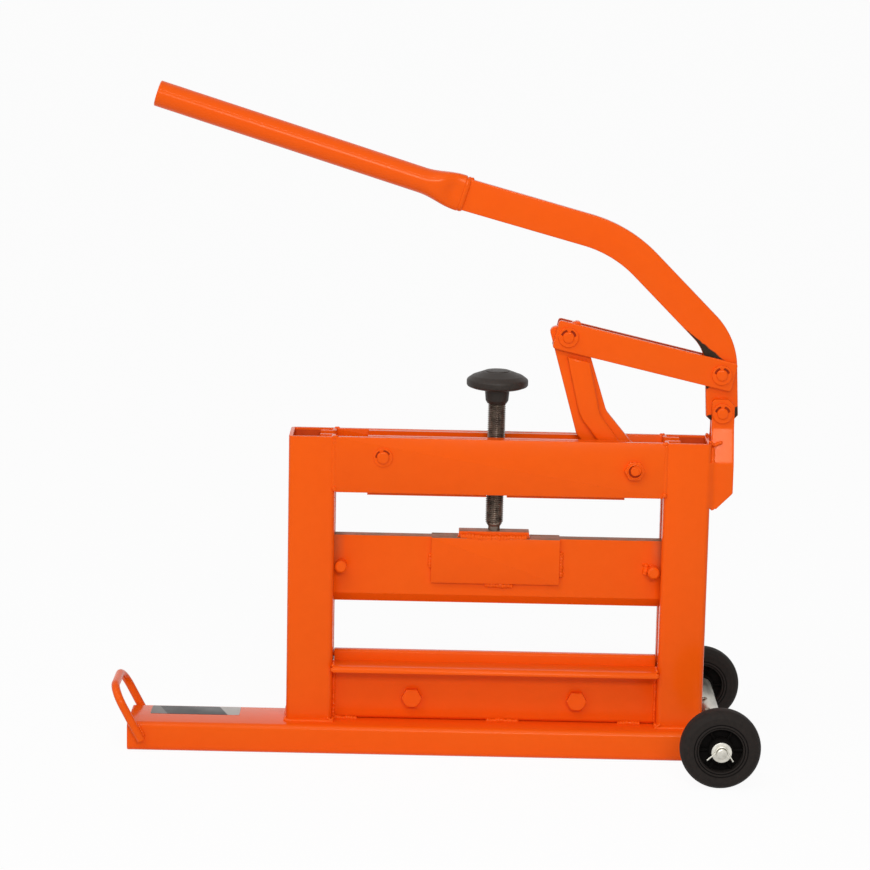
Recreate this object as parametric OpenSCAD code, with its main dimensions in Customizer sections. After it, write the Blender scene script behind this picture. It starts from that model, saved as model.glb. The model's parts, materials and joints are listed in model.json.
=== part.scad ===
// Hand-lever splitter for paving stones and masonry blocks.
// X runs along the base, Y goes from the front to the back, Z is up.
// The origin is on the ground, midway between the posts, in the plane of the blades.

/* [Frame] */
// Clear width between the two posts, the cutting length
window_w = 330; // [300:5:360]
// Width of a post along the base
post_w = 46.6; // [44:0.2:56]
// Depth of a post from front to back
post_d = 52; // [50:1:58]
// Height of a post above the base
post_h = 295; // [290:1:305]
// Wall of the lipped channel that the posts are made of
post_t = 4; // [3:0.5:5]
// Length of the lips that turn back into the channel
lip_len = 16; // [14:1:20]
// Height of the two top rails
rail_h = 56.5; // [54:0.5:58]
// Thickness of the top rails
rail_t = 6; // [5:0.5:7]
// Depth of the base tube from front to back
base_w = 68.5; // [66:0.5:75]
// Height of the base tube
base_h = 30; // [28:1:34]
// Wall of the base tube
base_t = 3; // [2:0.5:4]
// Length of base in front of the left post
base_toe = 159.9; // [140:0.1:180]
// Length of base behind the right post, under the axle
base_heel = 20.4; // [20:0.1:30]

/* [Lower blade] */
// Thickness of the lower blade
lower_t = 10; // [8:0.5:12]
// Height of the lower blade's edge above the base
lower_h = 70.5; // [66:0.5:74]
// Upright leg of the angles that clamp the lower blade
angle_v = 60; // [56:1:63]
// Flat leg of the angles
angle_f = 30; // [26:1:32]
// Thickness of the angles
angle_t = 6; // [5:0.5:7]
// Distance between the two clamp bolts
clamp_pitch = 168; // [140:2:220]
// Height of the clamp bolts above the base
clamp_z = 24; // [20:1:36]

/* [Upper blade] */
// Thickness of the upper blade
blade_t = 14; // [12:0.5:16]
// Height of the upper blade
blade_h = 69.5; // [64:0.5:74]
// Height of the bevel that makes the edge
bevel_h = 9.3; // [7:0.1:12]
// Distance from the press plates down to the top of the upper blade as shown
hang_h = 44; // [40:0.5:50]
// Play of the upper blade between the lips, each side
blade_play = 1; // [0.5:0.25:1.5]
// How far the upper blade reaches into each post
blade_reach = 13; // [10:0.5:14]
// Width of the saddle plates on the upper blade
saddle_w = 130; // [110:2:150]
// Height of the saddle plates
saddle_h = 47; // [40:1:52]
// Thickness of the saddle plates
saddle_t = 5; // [4:0.5:8]
// Width of the thrust block under the screw
block_w = 71; // [60:1:90]
// Height of the thrust block
block_h = 6.5; // [6:0.5:9]
// Diameter of the guide pins
guide_d = 12; // [10:0.2:13]
// How far the guide pins stand out of the blade
guide_out = 15; // [12:0.5:16]

/* [Screw] */
// Screw axis, left of the middle of the window
screw_off = 4; // [0:0.5:8]
// Outside diameter of the screw thread
screw_d = 18; // [16:0.5:19]
// Diameter of the screw's necked tip
neck_d = 12; // [11:0.5:13]
// Height of the plain neck between the thrust block and the thread
neck_h = 7; // [6:0.5:12]
// Height of the knob's hub above the posts as shown
knob_rise = 33; // [31:0.5:40]
// Height of the knob's hub
hub_h = 14; // [12:0.5:16]
// Diameter of the knob
knob_d = 62; // [56:1:70]
// Diameter of the knob's hub
hub_d = 25; // [24:0.5:27]

/* [Linkage] */
// Thickness of the hand lever and of the rocker's middle plate
lever_t = 10; // [8:0.5:11]
// Width of the hand lever's flat bar
lever_w = 32; // [30:0.5:34]
// Thickness of links, cheeks and rocker doublers
plate_t = 5.5; // [5:0.5:6]
// Diameter of the pins of the linkage
pin_d = 13; // [11:0.5:14]
// Distance between the two pins of the hand lever
lever_pitch = 39.05; // [38:0.05:40]
// Distance between the two pins of a link
link_pitch = 158.4; // [157:0.1:160]
// Width of a link
link_w = 29; // [27:0.5:30]
// Distance from the rocker's bolt to its toe pin
toe_arm = 34; // [32:0.5:36]
// Diameter of the rocker's bolt and of the clamp bolts
bolt_d = 12; // [10:1:12]
// Width across flats of the bolt heads and nuts
bolt_af = 18; // [17:0.5:19]
// Height of the bolt heads and nuts
bolt_k = 7.5; // [6:0.5:9]
// Thickness of the press plates
press_t = 6; // [5:0.5:7]
// Height of the press plates
press_h = 60; // [56:1:64]

/* [Handle tube] */
// Diameter of the handle tube
tube_d = 26; // [24:0.5:28]
// Wall of the handle tube
tube_t = 2.6; // [2:0.2:3.2]
// Length of the round part of the handle tube
tube_l = 271.4; // [240:0.2:300]
// Length of the flattened end over the lever's bar
flat_l = 46; // [40:1:60]

/* [Wheels] */
// Diameter of the wheels
wheel_d = 80; // [74:0.2:80]
// Width of a tyre
tyre_w = 25; // [22:0.5:28]
// Diameter over the hub that the tyre sits on
rim_d = 54; // [50:0.5:58]
// Distance between the middle planes of the wheels
track = 240; // [220:2:260]
// Diameter of the axle tube
axle_tube_d = 20; // [16:0.2:22]
// Diameter of the axle
axle_d = 10; // [8:0.5:11]

/* [Carry handle] */
// Diameter of the round bar
loop_d = 8.5; // [8:0.5:10]
// Length of a leg up to the middle of the top bar
loop_l = 60; // [54:1:70]
// Lean of the handle away from the base
loop_lean = 27.6; // [20:0.2:35]

/* [Hidden] */
$fn = 64;

// Clearances
run_fit = 0.05;     // radial, pin in a turning bore
seat_fit = 0.05;    // radial, pin that is fixed in its hole
face_gap = 0.3;     // between plates that slide past each other
screw_fit = 0.3;    // radial, thread in its nut
loose_fit = 2.9;    // radial, rocker's eye round the left link pin

// Frame levels and faces
post_out = window_w / 2 + post_w;
post_in = window_w / 2;
post_y = post_d / 2;
post_top = base_h + post_h;
base_y0 = post_y - base_w;
rail_z = post_top - rail_h;
rail_in = post_y - rail_t;
slot_w = blade_t + 2 * blade_play;
lower_top = base_h + lower_h;
angle_top = base_h + angle_v;
end_gap = 1;
edge_chamfer = 2;

// Upper blade levels
blade_top = post_top - press_h - hang_h;
blade_z = blade_top - blade_h;
edge_land = 1;
guide_gap = 1.1;
guide_x = post_in - guide_d / 2 - guide_gap;
guide_z = blade_z + 0.56 * blade_h;
block_top = blade_top + block_h;
block_ledge = 4;
block_y = blade_t / 2 + saddle_t - block_ledge;
saddle_off = 2;

// Screw levels
screw_x = -screw_off;
thread_z = block_top + neck_h;
thread_top = post_top + knob_rise;
tip_gap = 0.3;
groove_depth = 1.5;
retainer_d = 3;
retainer_z = blade_top + block_h / 2;
retainer_x = screw_x + neck_d / 2 - groove_depth + face_gap + retainer_d / 2;
rim_z = thread_top + hub_h;

// Pivots of the linkage, as points [x, z]
fulcrum_out = 10.4;
fulcrum_rise = 29;
fulcrum = [post_out + fulcrum_out, post_top + fulcrum_rise];
stem_lean = 2.9;
upper_pin = fulcrum + lever_pitch * [-sin(stem_lean), cos(stem_lean)];
link_tilt = 12.8;
left_pin = upper_pin + link_pitch * [-cos(link_tilt), sin(link_tilt)];
rocker_inset = 30;
rocker_drop = 28;
rocker_axis = [post_in - rocker_inset, post_top - rocker_drop];
toe = rocker_axis - [toe_arm, 0];
press_inset = 48;
press_drop = 20;
press_axis = [press_inset - post_in, post_top - press_drop];
trunnion_drop = 25;
trunnion = [screw_x, post_top - trunnion_drop];
trunnion_d = 16;
toe_d = 14;
toe_slide = 2.5;
rocker_hub_d = 16;
ring_d = 20;
ring_t = 2.2;
pin_out = 4;
nut_show = 1;

// Layers of the linkage, measured from the blade plane
lever_y = lever_t / 2;
plate_y0 = lever_y + face_gap;
plate_y1 = plate_y0 + plate_t;
press_y1 = rail_in - 2;
press_y0 = press_y1 - press_t;
press_end = 15.5;
press_x0 = press_axis.x - press_end;
press_x1 = rocker_axis.x - rocker_hub_d / 2 - 0.9;
press_top = post_top;
notch_w = 20.6;
notch_h = 9;

// Cheeks that carry the fulcrum
cheek_w = 22.6;
cheek_drop = 10;
cheek_over = 14;
joggle_drop = 21;
joggle_rise = 14;
cheek_in = 4;
cheek_z0 = rail_z - cheek_drop;
cheek_z1 = fulcrum[1] + cheek_over;
joggle_z0 = post_top - joggle_drop;
joggle_z1 = post_top + joggle_rise;
joggle_y = post_y - cheek_in - plate_t;

// Hand lever: a stem, a slanted part and a long part, joined by bends
stem_end = 8;
stem_l = 69.6;
knee = fulcrum + stem_l * [-sin(stem_lean), cos(stem_lean)];
slant_l = 144.5;
elbow = knee + slant_l * [-cos(45), sin(45)];
arm_tilt = 15.1;
arm_l = 178;
arm_end = elbow + arm_l * [-cos(arm_tilt), sin(arm_tilt)];
knee_r = 60;
elbow_r = 130;
tube_tilt = 17.1;
bar_lap = 13.3;
tube_mouth = arm_end + bar_lap * [cos(arm_tilt), -sin(arm_tilt)];

// Wheels and axle
axle_x = post_out + axle_tube_d / 2;
axle_z = base_h + axle_tube_d / 2;
axle_y = -4;
hub_half = 15;
washer_d = 20;
washer_t = 2;
axle_end = 3.5;
clip_d = 2;

// Carry handle
loop_y0 = base_y0 - loop_d / 2 - seat_fit;
loop_y1 = post_y + loop_d / 2 + seat_fit;
foot_inset = 15;
foot_drop = 17.5;
loop_foot = [foot_inset - post_out - base_toe, base_h - foot_drop];
loop_bend = 20;

// Finishes
paint = [0.93, 0.34, 0.05];
dark_steel = [0.25, 0.22, 0.19];
zinc = [0.78, 0.79, 0.80];
black = [0.12, 0.12, 0.12];

// Outline helpers
function unit(v) = v / norm(v);
function across(v) = [-v[1], v[0]];

// Points of the arc that rounds the corner a-b-c with radius r
function corner(a, b, c, r, n = 10) =
    let (u = unit(a - b), v = unit(c - b), half = acos(u * v) / 2,
         o = b + unit(u + v) * r / sin(half),
         s = b + u * r / tan(half) - o,
         e = b + v * r / tan(half) - o,
         a0 = atan2(s[1], s[0]),
         turn = atan2(s[0] * e[1] - s[1] * e[0], s * e))
    [for (i = [0 : n]) o + r * [cos(a0 + turn * i / n), sin(a0 + turn * i / n)]];

// Sideways step at point i of a path, long enough to keep the ribbon's width in a bend
function mitre(p, i) =
    let (a = unit(i == 0 ? p[1] - p[0] : p[i] - p[i - 1]),
         b = unit(i == len(p) - 1 ? a : p[i + 1] - p[i]),
         n = unit(across(a) + across(b)))
    n / (n * across(a));

// Outline of a flat bar of width w that follows a path
function ribbon(p, w) = concat(
    [for (i = [0 : len(p) - 1]) p[i] + mitre(p, i) * w / 2],
    [for (i = [len(p) - 1 : -1 : 0]) p[i] - mitre(p, i) * w / 2]);

// Rectangle with round corners, centred
module round_rect(w, h, r) {
    square([w - 2 * r, h], center = true);
    square([w, h - 2 * r], center = true);
    for (x = [-1, 1], y = [-1, 1])
        translate([x * (w / 2 - r), y * (h / 2 - r)]) circle(r);
}

// A plate drawn in the X-Z plane, from y0 to y0 + t
module plate_xz(y0, t) {
    translate([0, y0 + t, 0]) rotate([90, 0, 0]) linear_extrude(t) children();
}

// A section drawn in the Y-Z plane, from x0 to x1
module section_yz(x0, x1) {
    translate([x0, 0, 0]) rotate([90, 0, 90]) linear_extrude(x1 - x0) children();
}

// A round bar along Y through the point p = [x, z]
module bar_y(p, d, y0, y1) {
    translate([p[0], y1, p[1]]) rotate([90, 0, 0]) cylinder(h = y1 - y0, d = d);
}

// A hexagon along Y with corners to the left and right
module hex_y(p, af, y0, y1) {
    translate([p[0], y1, p[1]]) rotate([90, 0, 0]) cylinder(h = y1 - y0, d = af / cos(30), $fn = 6);
}

// Draws a front piece, or its mirror image behind the blade plane
module behind() {
    mirror([0, 1, 0]) children();
}

// Frame
module base_rail() {
    color(paint)
    translate([0, base_y0 + base_w / 2, base_h / 2])
    section_yz(-post_out - base_toe, post_out + base_heel)
    difference() {
        round_rect(base_w, base_h, base_t + 1);
        round_rect(base_w - 2 * base_t, base_h - 2 * base_t, 1);
    }
}

// Lipped channel, open towards +X, with its open face at x = 0
module post_section() {
    difference() {
        translate([-post_w / 2, 0]) round_rect(post_w, post_d, post_t + 1);
        translate([-post_w / 2, 0]) round_rect(post_w - 2 * post_t, post_d - 2 * post_t, 1);
        translate([-post_t - 1, -slot_w / 2]) square([post_t + 2, slot_w]);
    }
    for (s = [-1, 1])
        translate([-lip_len, s * (slot_w + post_t) / 2 - post_t / 2]) square([lip_len, post_t]);
}

module left_post() {
    color(paint) translate([-post_in, 0, base_h]) linear_extrude(post_h) post_section();
}

module right_post() {
    color(paint) translate([post_in, 0, base_h]) linear_extrude(post_h) mirror([1, 0]) post_section();
}

module top_rail() {
    difference() {
        translate([-post_in, -post_y, rail_z]) cube([window_w, rail_t, rail_h]);
        bar_y(press_axis, pin_d + 2 * seat_fit, -post_y - 1, -rail_in + 1);
        bar_y(rocker_axis, bolt_d + 2 * seat_fit, -post_y - 1, -rail_in + 1);
    }
}

module front_top_rail() { color(paint) top_rail(); }
module back_top_rail() { color(paint) behind() top_rail(); }

// Angle with its back on the lower blade and its flat leg on top, nose rounded
module anvil_angle() {
    nose_r = 0.75 * angle_t;
    difference() {
        section_yz(-post_in + end_gap, post_in - end_gap) {
            translate([-lower_t / 2 - angle_t, base_h]) square([angle_t, angle_v]);
            translate([-lower_t / 2 - angle_f, angle_top - angle_t])
                square([angle_f, angle_t - nose_r]);
            translate([-lower_t / 2 - angle_f + nose_r, angle_top - angle_t])
                square([angle_f - nose_r, angle_t]);
            translate([-lower_t / 2 - angle_f + nose_r, angle_top - nose_r]) circle(nose_r);
        }
        for (s = [-1, 1])
            bar_y(clamp_at(s), bolt_d + 2 * seat_fit, -lower_t / 2 - angle_t - 1, 0);
    }
}

function clamp_at(s) = [s * clamp_pitch / 2, base_h + clamp_z];

module front_anvil_angle() { color(paint) anvil_angle(); }
module back_anvil_angle() { color(paint) behind() anvil_angle(); }

module lower_blade() {
    y = lower_t / 2;
    color(paint) difference() {
        section_yz(-post_in + end_gap, post_in - end_gap)
            polygon([[-y, base_h], [y, base_h], [y, lower_top - edge_chamfer],
                [y - edge_chamfer, lower_top], [edge_chamfer - y, lower_top], [-y, lower_top - edge_chamfer]]);
        for (s = [-1, 1]) bar_y(clamp_at(s), bolt_d + 2 * seat_fit, -y - 1, y + 1);
    }
}

module clamp_bolts() {
    y = lower_t / 2 + angle_t;
    color(paint) for (s = [-1, 1]) {
        hex_y(clamp_at(s), bolt_af, -y - bolt_k, -y);
        bar_y(clamp_at(s), bolt_d, -y, y + bolt_k + 4);
    }
}

module clamp_nuts() {
    y = lower_t / 2 + angle_t;
    color(paint) for (s = [-1, 1]) difference() {
        hex_y(clamp_at(s), bolt_af, y, y + bolt_k);
        bar_y(clamp_at(s), bolt_d + 2 * seat_fit, y - 1, y + bolt_k + 1);
    }
}

// Cheek: upright plate on the post's outer wall, set in towards the lever above the joggle
module cheek() {
    x1 = post_out + cheek_w;
    cut = 7;
    slope = 16;
    difference() {
        intersection() {
            section_yz(post_out, x1) polygon([
                [-joggle_y - plate_t, cheek_z0], [-joggle_y, cheek_z0], [-joggle_y, joggle_z0],
                [-plate_y0, joggle_z1], [-plate_y0, cheek_z1], [-plate_y1, cheek_z1],
                [-plate_y1, joggle_z1], [-joggle_y - plate_t, joggle_z0]]);
            plate_xz(-post_y, post_d) polygon([
                [post_out, cheek_z0], [x1 - slope, cheek_z0], [x1, cheek_z0 + slope], [x1, cheek_z1 - cut],
                [x1 - cut, cheek_z1], [post_out + 3, cheek_z1], [post_out, cheek_z1 - 3]]);
        }
        bar_y(fulcrum, pin_d + 2 * seat_fit, -plate_y1 - 1, 0);
    }
}

module front_cheek() { color(paint) cheek(); }
module back_cheek() { color(paint) behind() cheek(); }

module fulcrum_pin() {
    color(paint) bar_y(fulcrum, pin_d, -plate_y1 - pin_out, plate_y1 + pin_out);
}

// Retaining ring on a pin, outside the plates
module ring(p, side) {
    y0 = side > 0 ? plate_y1 : -plate_y1 - ring_t;
    difference() {
        bar_y(p, ring_d, y0, y0 + ring_t);
        bar_y(p, pin_d + 2 * seat_fit, y0 - 1, y0 + ring_t + 1);
    }
}

module fulcrum_rings() {
    color(paint) for (side = [-1, 1]) ring(fulcrum, side);
}

module rocker_bolt() {
    color(paint) {
        hex_y(rocker_axis, bolt_af, post_y, post_y + bolt_k);
        bar_y(rocker_axis, bolt_d, -post_y - bolt_k - nut_show, post_y);
    }
}

module rocker_nut() {
    color(paint) difference() {
        hex_y(rocker_axis, bolt_af, -post_y - bolt_k, -post_y);
        bar_y(rocker_axis, bolt_d + 2 * seat_fit, -post_y - bolt_k - 1, -post_y + 1);
    }
}

module press_pin() {
    color(paint) bar_y(press_axis, pin_d, -post_y - pin_out, post_y + pin_out);
}

// Round bar bent to a loop, its legs on the two sides of the base
module carry_handle() {
    half = (loop_y1 - loop_y0) / 2;
    run = loop_l - loop_bend;
    color(paint)
    translate([loop_foot[0], (loop_y0 + loop_y1) / 2, loop_foot[1]]) rotate([0, -loop_lean, 0]) {
        for (s = [0, 1]) mirror([0, s, 0]) {
            translate([0, half, 0]) cylinder(h = run, d = loop_d);
            translate([0, half - loop_bend, run]) rotate([90, 0, 90])
                rotate_extrude(angle = 90) translate([loop_bend, 0]) circle(d = loop_d);
        }
        translate([0, half - loop_bend, loop_l]) rotate([90, 0, 0])
            cylinder(h = 2 * (half - loop_bend), d = loop_d);
    }
}

// Axle
axle_c = [axle_x, axle_z];
hub_in = track / 2 - hub_half - face_gap;
hub_out = track / 2 + hub_half + face_gap;

module axle_tube() {
    color(zinc) difference() {
        bar_y(axle_c, axle_tube_d, axle_y - hub_in, axle_y + hub_in);
        bar_y(axle_c, axle_d + 2 * seat_fit, axle_y - hub_in - 1, axle_y + hub_in + 1);
    }
}

module axle() {
    reach = hub_out + washer_t + clip_d + axle_end;
    color(zinc) bar_y(axle_c, axle_d, axle_y - reach, axle_y + reach);
}

module axle_washers() {
    color(zinc) for (s = [-1, 1]) translate([0, axle_y, 0]) mirror([0, s > 0 ? 1 : 0, 0]) difference() {
        bar_y(axle_c, washer_d, -hub_out - washer_t, -hub_out);
        bar_y(axle_c, axle_d + 2 * seat_fit, -hub_out - washer_t - 1, -hub_out + 1);
    }
}

// Wire clip that hugs the top of the axle, its legs spread
module wire_clip() {
    r = axle_d / 2 + clip_d / 2 + seat_fit;
    leg = 12;
    spread = 40;
    rotate([90, 0, 0]) {
        rotate_extrude(angle = 180) translate([r, 0]) circle(d = clip_d);
        for (s = [-1, 1]) translate([s * r, 0, 0]) rotate([90, 0, s * spread]) cylinder(h = leg, d = clip_d);
        for (s = [-1, 1]) translate([s * r, 0, 0]) sphere(d = clip_d);
    }
}

module split_pins() {
    color(zinc) for (s = [-1, 1])
        translate([axle_x, axle_y + s * (hub_out + washer_t + clip_d / 2), axle_z]) wire_clip();
}

// Hand lever
lever_path = concat([fulcrum - stem_end * unit(upper_pin - fulcrum)],
    corner(fulcrum, knee, elbow, knee_r), corner(knee, elbow, arm_end, elbow_r), [arm_end]);

module lever_shape() {
    polygon(ribbon(lever_path, lever_w));
}

module lever_bar() {
    color(paint) difference() {
        plate_xz(-lever_y, lever_t) lever_shape();
        for (p = [fulcrum, upper_pin]) bar_y(p, pin_d + 2 * run_fit, -lever_y - 1, lever_y + 1);
        lever_foot_cuts();
    }
}

// Bevelled lower corners of the stem
module lever_foot_cuts() {
    cut = 7;
    foot = lever_path[0];
    for (s = [-1, 1])
        translate([foot[0] + s * lever_w / 2, 0, foot[1]]) rotate([0, 45, 0])
            cube([cut, lever_t + 2, cut], center = true);
}

// Round tube whose end is flattened and lapped over the lever's bar
module handle_tube() {
    lap = 0.1;
    color(paint)
    difference() {
        translate([tube_mouth[0], 0, tube_mouth[1]]) rotate([0, -90 + tube_tilt, 0]) {
            difference() {
                translate([0, 0, flat_l - 1]) cylinder(h = tube_l + 1, d = tube_d);
                translate([0, 0, flat_l + tube_t]) cylinder(h = tube_l, d = tube_d - 2 * tube_t);
            }
            hull() {
                translate([0, 0, flat_l - 1]) cylinder(h = 1, d = tube_d, $fn = 32);
                translate([0, 0, bar_lap + 4]) linear_extrude(1) mouth_shape(1);
                linear_extrude(1) mouth_shape(0);
            }
        }
        plate_xz(-lever_y - lap, lever_t + 2 * lap) polygon(ribbon(lever_path, lever_w + 2 * lap));
    }
}

// Flattened section of the tube, a little rounder further in
module mouth_shape(round) {
    w = lever_w + 2 * tube_t;
    h = lever_t + 2 * tube_t + 4 * round;
    resize([w, h]) circle(d = tube_d, $fn = 32);
    square([w - 1.6, lever_t + 1.6], center = true);
}

// Links
link_end = 13;

module link() {
    d = unit(left_pin - upper_pin);
    difference() {
        plate_xz(-plate_y1, plate_t)
            polygon(ribbon([upper_pin - link_end * d, left_pin + link_end * d], link_w));
        for (p = [upper_pin, left_pin]) bar_y(p, pin_d + 2 * seat_fit, -plate_y1 - 1, 0);
    }
}

module front_link() { color(paint) link(); }
module back_link() { color(paint) behind() link(); }

module link_pins() {
    color(paint) for (p = [upper_pin, left_pin]) bar_y(p, pin_d, -plate_y1 - pin_out, plate_y1 + pin_out);
}

module link_rings() {
    color(paint) for (p = [upper_pin, left_pin], side = [-1, 1]) ring(p, side);
}

// Rocker: a bent plate with an eye at the top, a bolt boss and a toe
rocker_dir = unit([-0.259, 0.966]);
boss_r = 19;
toe_r = 13;
eye_out = 12.5;
waist_back = 29;
waist_up = 56;
shoulder_back = 4;
shoulder_up = 26;
heel_back = 27.5;
heel_up = 43;
heel_in = 19;
heel_low = 31;
eye_l = 16.5;
eye_r = 15.5;
waist = rocker_axis + [-waist_back, waist_up];
shoulder = rocker_axis + [-shoulder_back, shoulder_up];
heel = toe + [-heel_back, heel_up];
ankle = toe + [-heel_in, heel_low];
eye_left = left_pin + eye_out * rocker_dir + eye_l * across(rocker_dir);
eye_right = left_pin + eye_out * rocker_dir - eye_r * across(rocker_dir);

module rocker_shape() {
    polygon(concat(
        corner(heel, eye_left, eye_right, 5), corner(eye_left, eye_right, waist, 4),
        [waist, shoulder, rocker_axis + boss_r * [cos(40), sin(40)], rocker_axis - [0, boss_r],
         toe - [0, toe_r], toe - toe_r * [cos(15), sin(15)], ankle, heel]));
    translate(rocker_axis) circle(boss_r);
    translate(toe) circle(toe_r);
}

module rocker_plate() {
    hub_y = rail_in - face_gap;
    color(paint) difference() {
        union() {
            plate_xz(-lever_y, lever_t) rocker_shape();
            bar_y(rocker_axis, rocker_hub_d, -hub_y, hub_y);
        }
        bar_y(rocker_axis, bolt_d + 2 * run_fit, -hub_y - 1, hub_y + 1);
        bar_y(left_pin, pin_d + 2 * loose_fit, -lever_y - 1, lever_y + 1);
        bar_y(toe, toe_d + 2 * seat_fit, -lever_y - 1, lever_y + 1);
    }
}

// Dog-leg bar on each face of the rocker, from under the links to the bolt boss
module doubler() {
    width = 19;
    gap = 12;
    clear = 19.6;
    lead = 3.5;
    bend_back = 18.5;
    bend_drop = 4;
    bend_r = 40;
    foot_back = 11;
    top = left_pin - gap * rocker_dir + [lead, 0];
    along = unit(upper_pin - left_pin);
    bend = waist - [bend_back, bend_drop];
    foot = rocker_axis - foot_back * unit(rocker_axis - bend);
    path = concat([top], corner(top, bend, foot, bend_r), [foot]);
    difference() {
        union() {
            plate_xz(-lever_y - plate_t, plate_t) polygon(ribbon(path, width));
            bar_y(rocker_axis, 2 * boss_r - 8, -lever_y - plate_t, -lever_y);
        }
        bar_y(rocker_axis, rocker_hub_d + 2 * seat_fit, -lever_y - plate_t - 1, 0);
        plate_xz(-lever_y - plate_t - 1, plate_t + 2) translate(left_pin)
            polygon([for (p = [[-40, -clear], [40, -clear], [40, 40], [-40, 40]]) p.x * along + p.y * across(along)]);
    }
}

module front_doubler() { color(paint) doubler(); }
module back_doubler() { color(paint) behind() doubler(); }

module toe_pin() {
    color(dark_steel) bar_y(toe, toe_d, -press_y1, press_y1);
}

// Press lever: two plates that carry the screw's nut between them
module press_plate() {
    difference() {
        translate([press_x0, -press_y1, press_top - press_h]) cube([press_x1 - press_x0, press_t, press_h]);
        bar_y(press_axis, pin_d + 2 * run_fit, -press_y1 - 1, 0);
        bar_y(trunnion, trunnion_d + 2 * run_fit, -press_y1 - 1, 0);
        for (s = [-1, 1]) bar_y(toe + [s * toe_slide, 0], toe_d + 2 * face_gap, -press_y1 - 1, 0);
        translate([toe[0] - toe_slide, -press_y1 - 1, toe[1] - toe_d / 2 - face_gap])
            cube([2 * toe_slide, press_t + 2, toe_d + 2 * face_gap]);
        translate([screw_x - notch_w / 2 + 1.5, -press_y1 - 1, press_top - press_h - 1])
            cube([notch_w, press_t + 2, notch_h + 1]);
    }
}

module front_press_plate() { color(paint) press_plate(); }
module back_press_plate() { color(paint) behind() press_plate(); }

module nut_block() {
    w = 36;
    h = 28;
    y = press_y0 - face_gap;
    color(dark_steel) difference() {
        union() {
            translate([screw_x - w / 2, -y, trunnion[1] - h / 2]) cube([w, 2 * y, h]);
            bar_y(trunnion, trunnion_d, -press_y1, press_y1);
        }
        translate([screw_x, 0, trunnion[1] - h]) cylinder(h = 2 * h, d = screw_d + 2 * screw_fit);
    }
}

// Upper blade
module upper_blade() {
    y = blade_t / 2;
    reach = post_in + blade_reach;
    color(paint) difference() {
        section_yz(-reach, reach) polygon([[-y, blade_top], [-y, blade_z + bevel_h], [-edge_land / 2, blade_z],
            [edge_land / 2, blade_z], [y, blade_z + bevel_h], [y, blade_top]]);
        for (s = [-1, 1]) bar_y([s * guide_x, guide_z], guide_d + 2 * seat_fit, -y - 1, y + 1);
    }
}

module saddle() {
    translate([screw_x + saddle_off - saddle_w / 2, -blade_t / 2 - saddle_t, blade_top - saddle_h])
        cube([saddle_w, saddle_t, saddle_h]);
}

module front_saddle() { color(paint) saddle(); }
module back_saddle() { color(paint) behind() saddle(); }

module thrust_block() {
    color(paint) difference() {
        translate([screw_x - block_w / 2, -block_y, blade_top]) cube([block_w, 2 * block_y, block_h]);
        translate([screw_x, 0, blade_top - 1]) cylinder(h = block_h + 2, d = neck_d + 2 * run_fit);
        bar_y([retainer_x, retainer_z], retainer_d + 2 * seat_fit, -block_y - 1, block_y + 1);
    }
}

module guide_pins() {
    y = blade_t / 2 + guide_out;
    color(paint) for (s = [-1, 1]) bar_y([s * guide_x, guide_z], guide_d, -y, y);
}

// Cross pin that runs in the groove of the screw's tip and holds the blade up
module tip_retainer() {
    color(dark_steel) bar_y([retainer_x, retainer_z], retainer_d, -block_y, block_y);
}

// Screw
module screw_spindle() {
    r = screw_d / 2;
    n = neck_d / 2;
    g = n - groove_depth;
    half = retainer_d / 2 + face_gap;
    color(dark_steel) translate([screw_x, 0, 0]) rotate_extrude() polygon([
        [0, blade_top + tip_gap], [n, blade_top + tip_gap], [n, retainer_z - half], [g, retainer_z - half],
        [g, retainer_z + half], [n, retainer_z + half], [n, thread_z - (r - n)], [r, thread_z],
        [r, rim_z + 6], [0, rim_z + 6]]);
}

module knob() {
    r = knob_d / 2;
    h = hub_d / 2;
    bore = screw_d / 2 + seat_fit;
    z = rim_z + 6 + seat_fit;
    dome_z = 11.4;
    apex = 20;
    color(black) translate([screw_x, 0, 0]) rotate_extrude() polygon(concat(
        [[0, z], [bore, z], [bore, thread_top], [h - 2.2, thread_top], [h - 1, thread_top + 3],
         [h, rim_z - 0.5], [h + 2, rim_z + 0.8], [r - 7, rim_z + 1.8]],
        [for (a = [-70 : 20 : 70]) [r - 4 + 4 * cos(a), rim_z + 7 + 4.5 * sin(a)]],
        [for (a = [10 : 10 : 60]) [(r - 3) * cos(a), rim_z + dome_z + 8.5 * sin(a)]],
        [[0, rim_z + apex]]));
}

// Wheels
module tyre() {
    r = wheel_d / 2;
    w = tyre_w / 2;
    i = rim_d / 2 + seat_fit;
    rotate([90, 0, 0]) rotate_extrude() polygon(concat(
        [[i, -w], [r - 6, -w]],
        [for (a = [-80 : 20 : 80]) [r - 6 + 6 * cos(a), (w - 3) * sin(a) / sin(80)]],
        [[r - 6, w], [i, w]]));
}

// Hub: rim, recessed web with ribs, and a boss that runs on the axle
module hub() {
    r = rim_d / 2;
    w = tyre_w / 2;
    bore = axle_d / 2 + run_fit;
    boss = 12;
    recess = r - 4;
    rotate([90, 0, 0]) difference() {
        union() {
            rotate_extrude() polygon([[bore, -hub_half], [boss, -hub_half], [boss, -3], [recess, -3], [recess, -w],
                [r, -w], [r, w], [recess, w], [recess, 3], [boss, 3], [boss, hub_half], [bore, hub_half]]);
            for (k = [0 : 5]) rotate(60 * k) translate([boss - 1, -1.5, -w + 3]) cube([recess - boss + 2, 3, tyre_w - 6]);
        }
        translate([0, 0, -hub_half - 1]) cylinder(h = 2 * hub_half + 2, r = bore);
    }
}

module at_wheel(side) {
    translate([axle_x, axle_y + side * track / 2, axle_z]) children();
}

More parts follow.
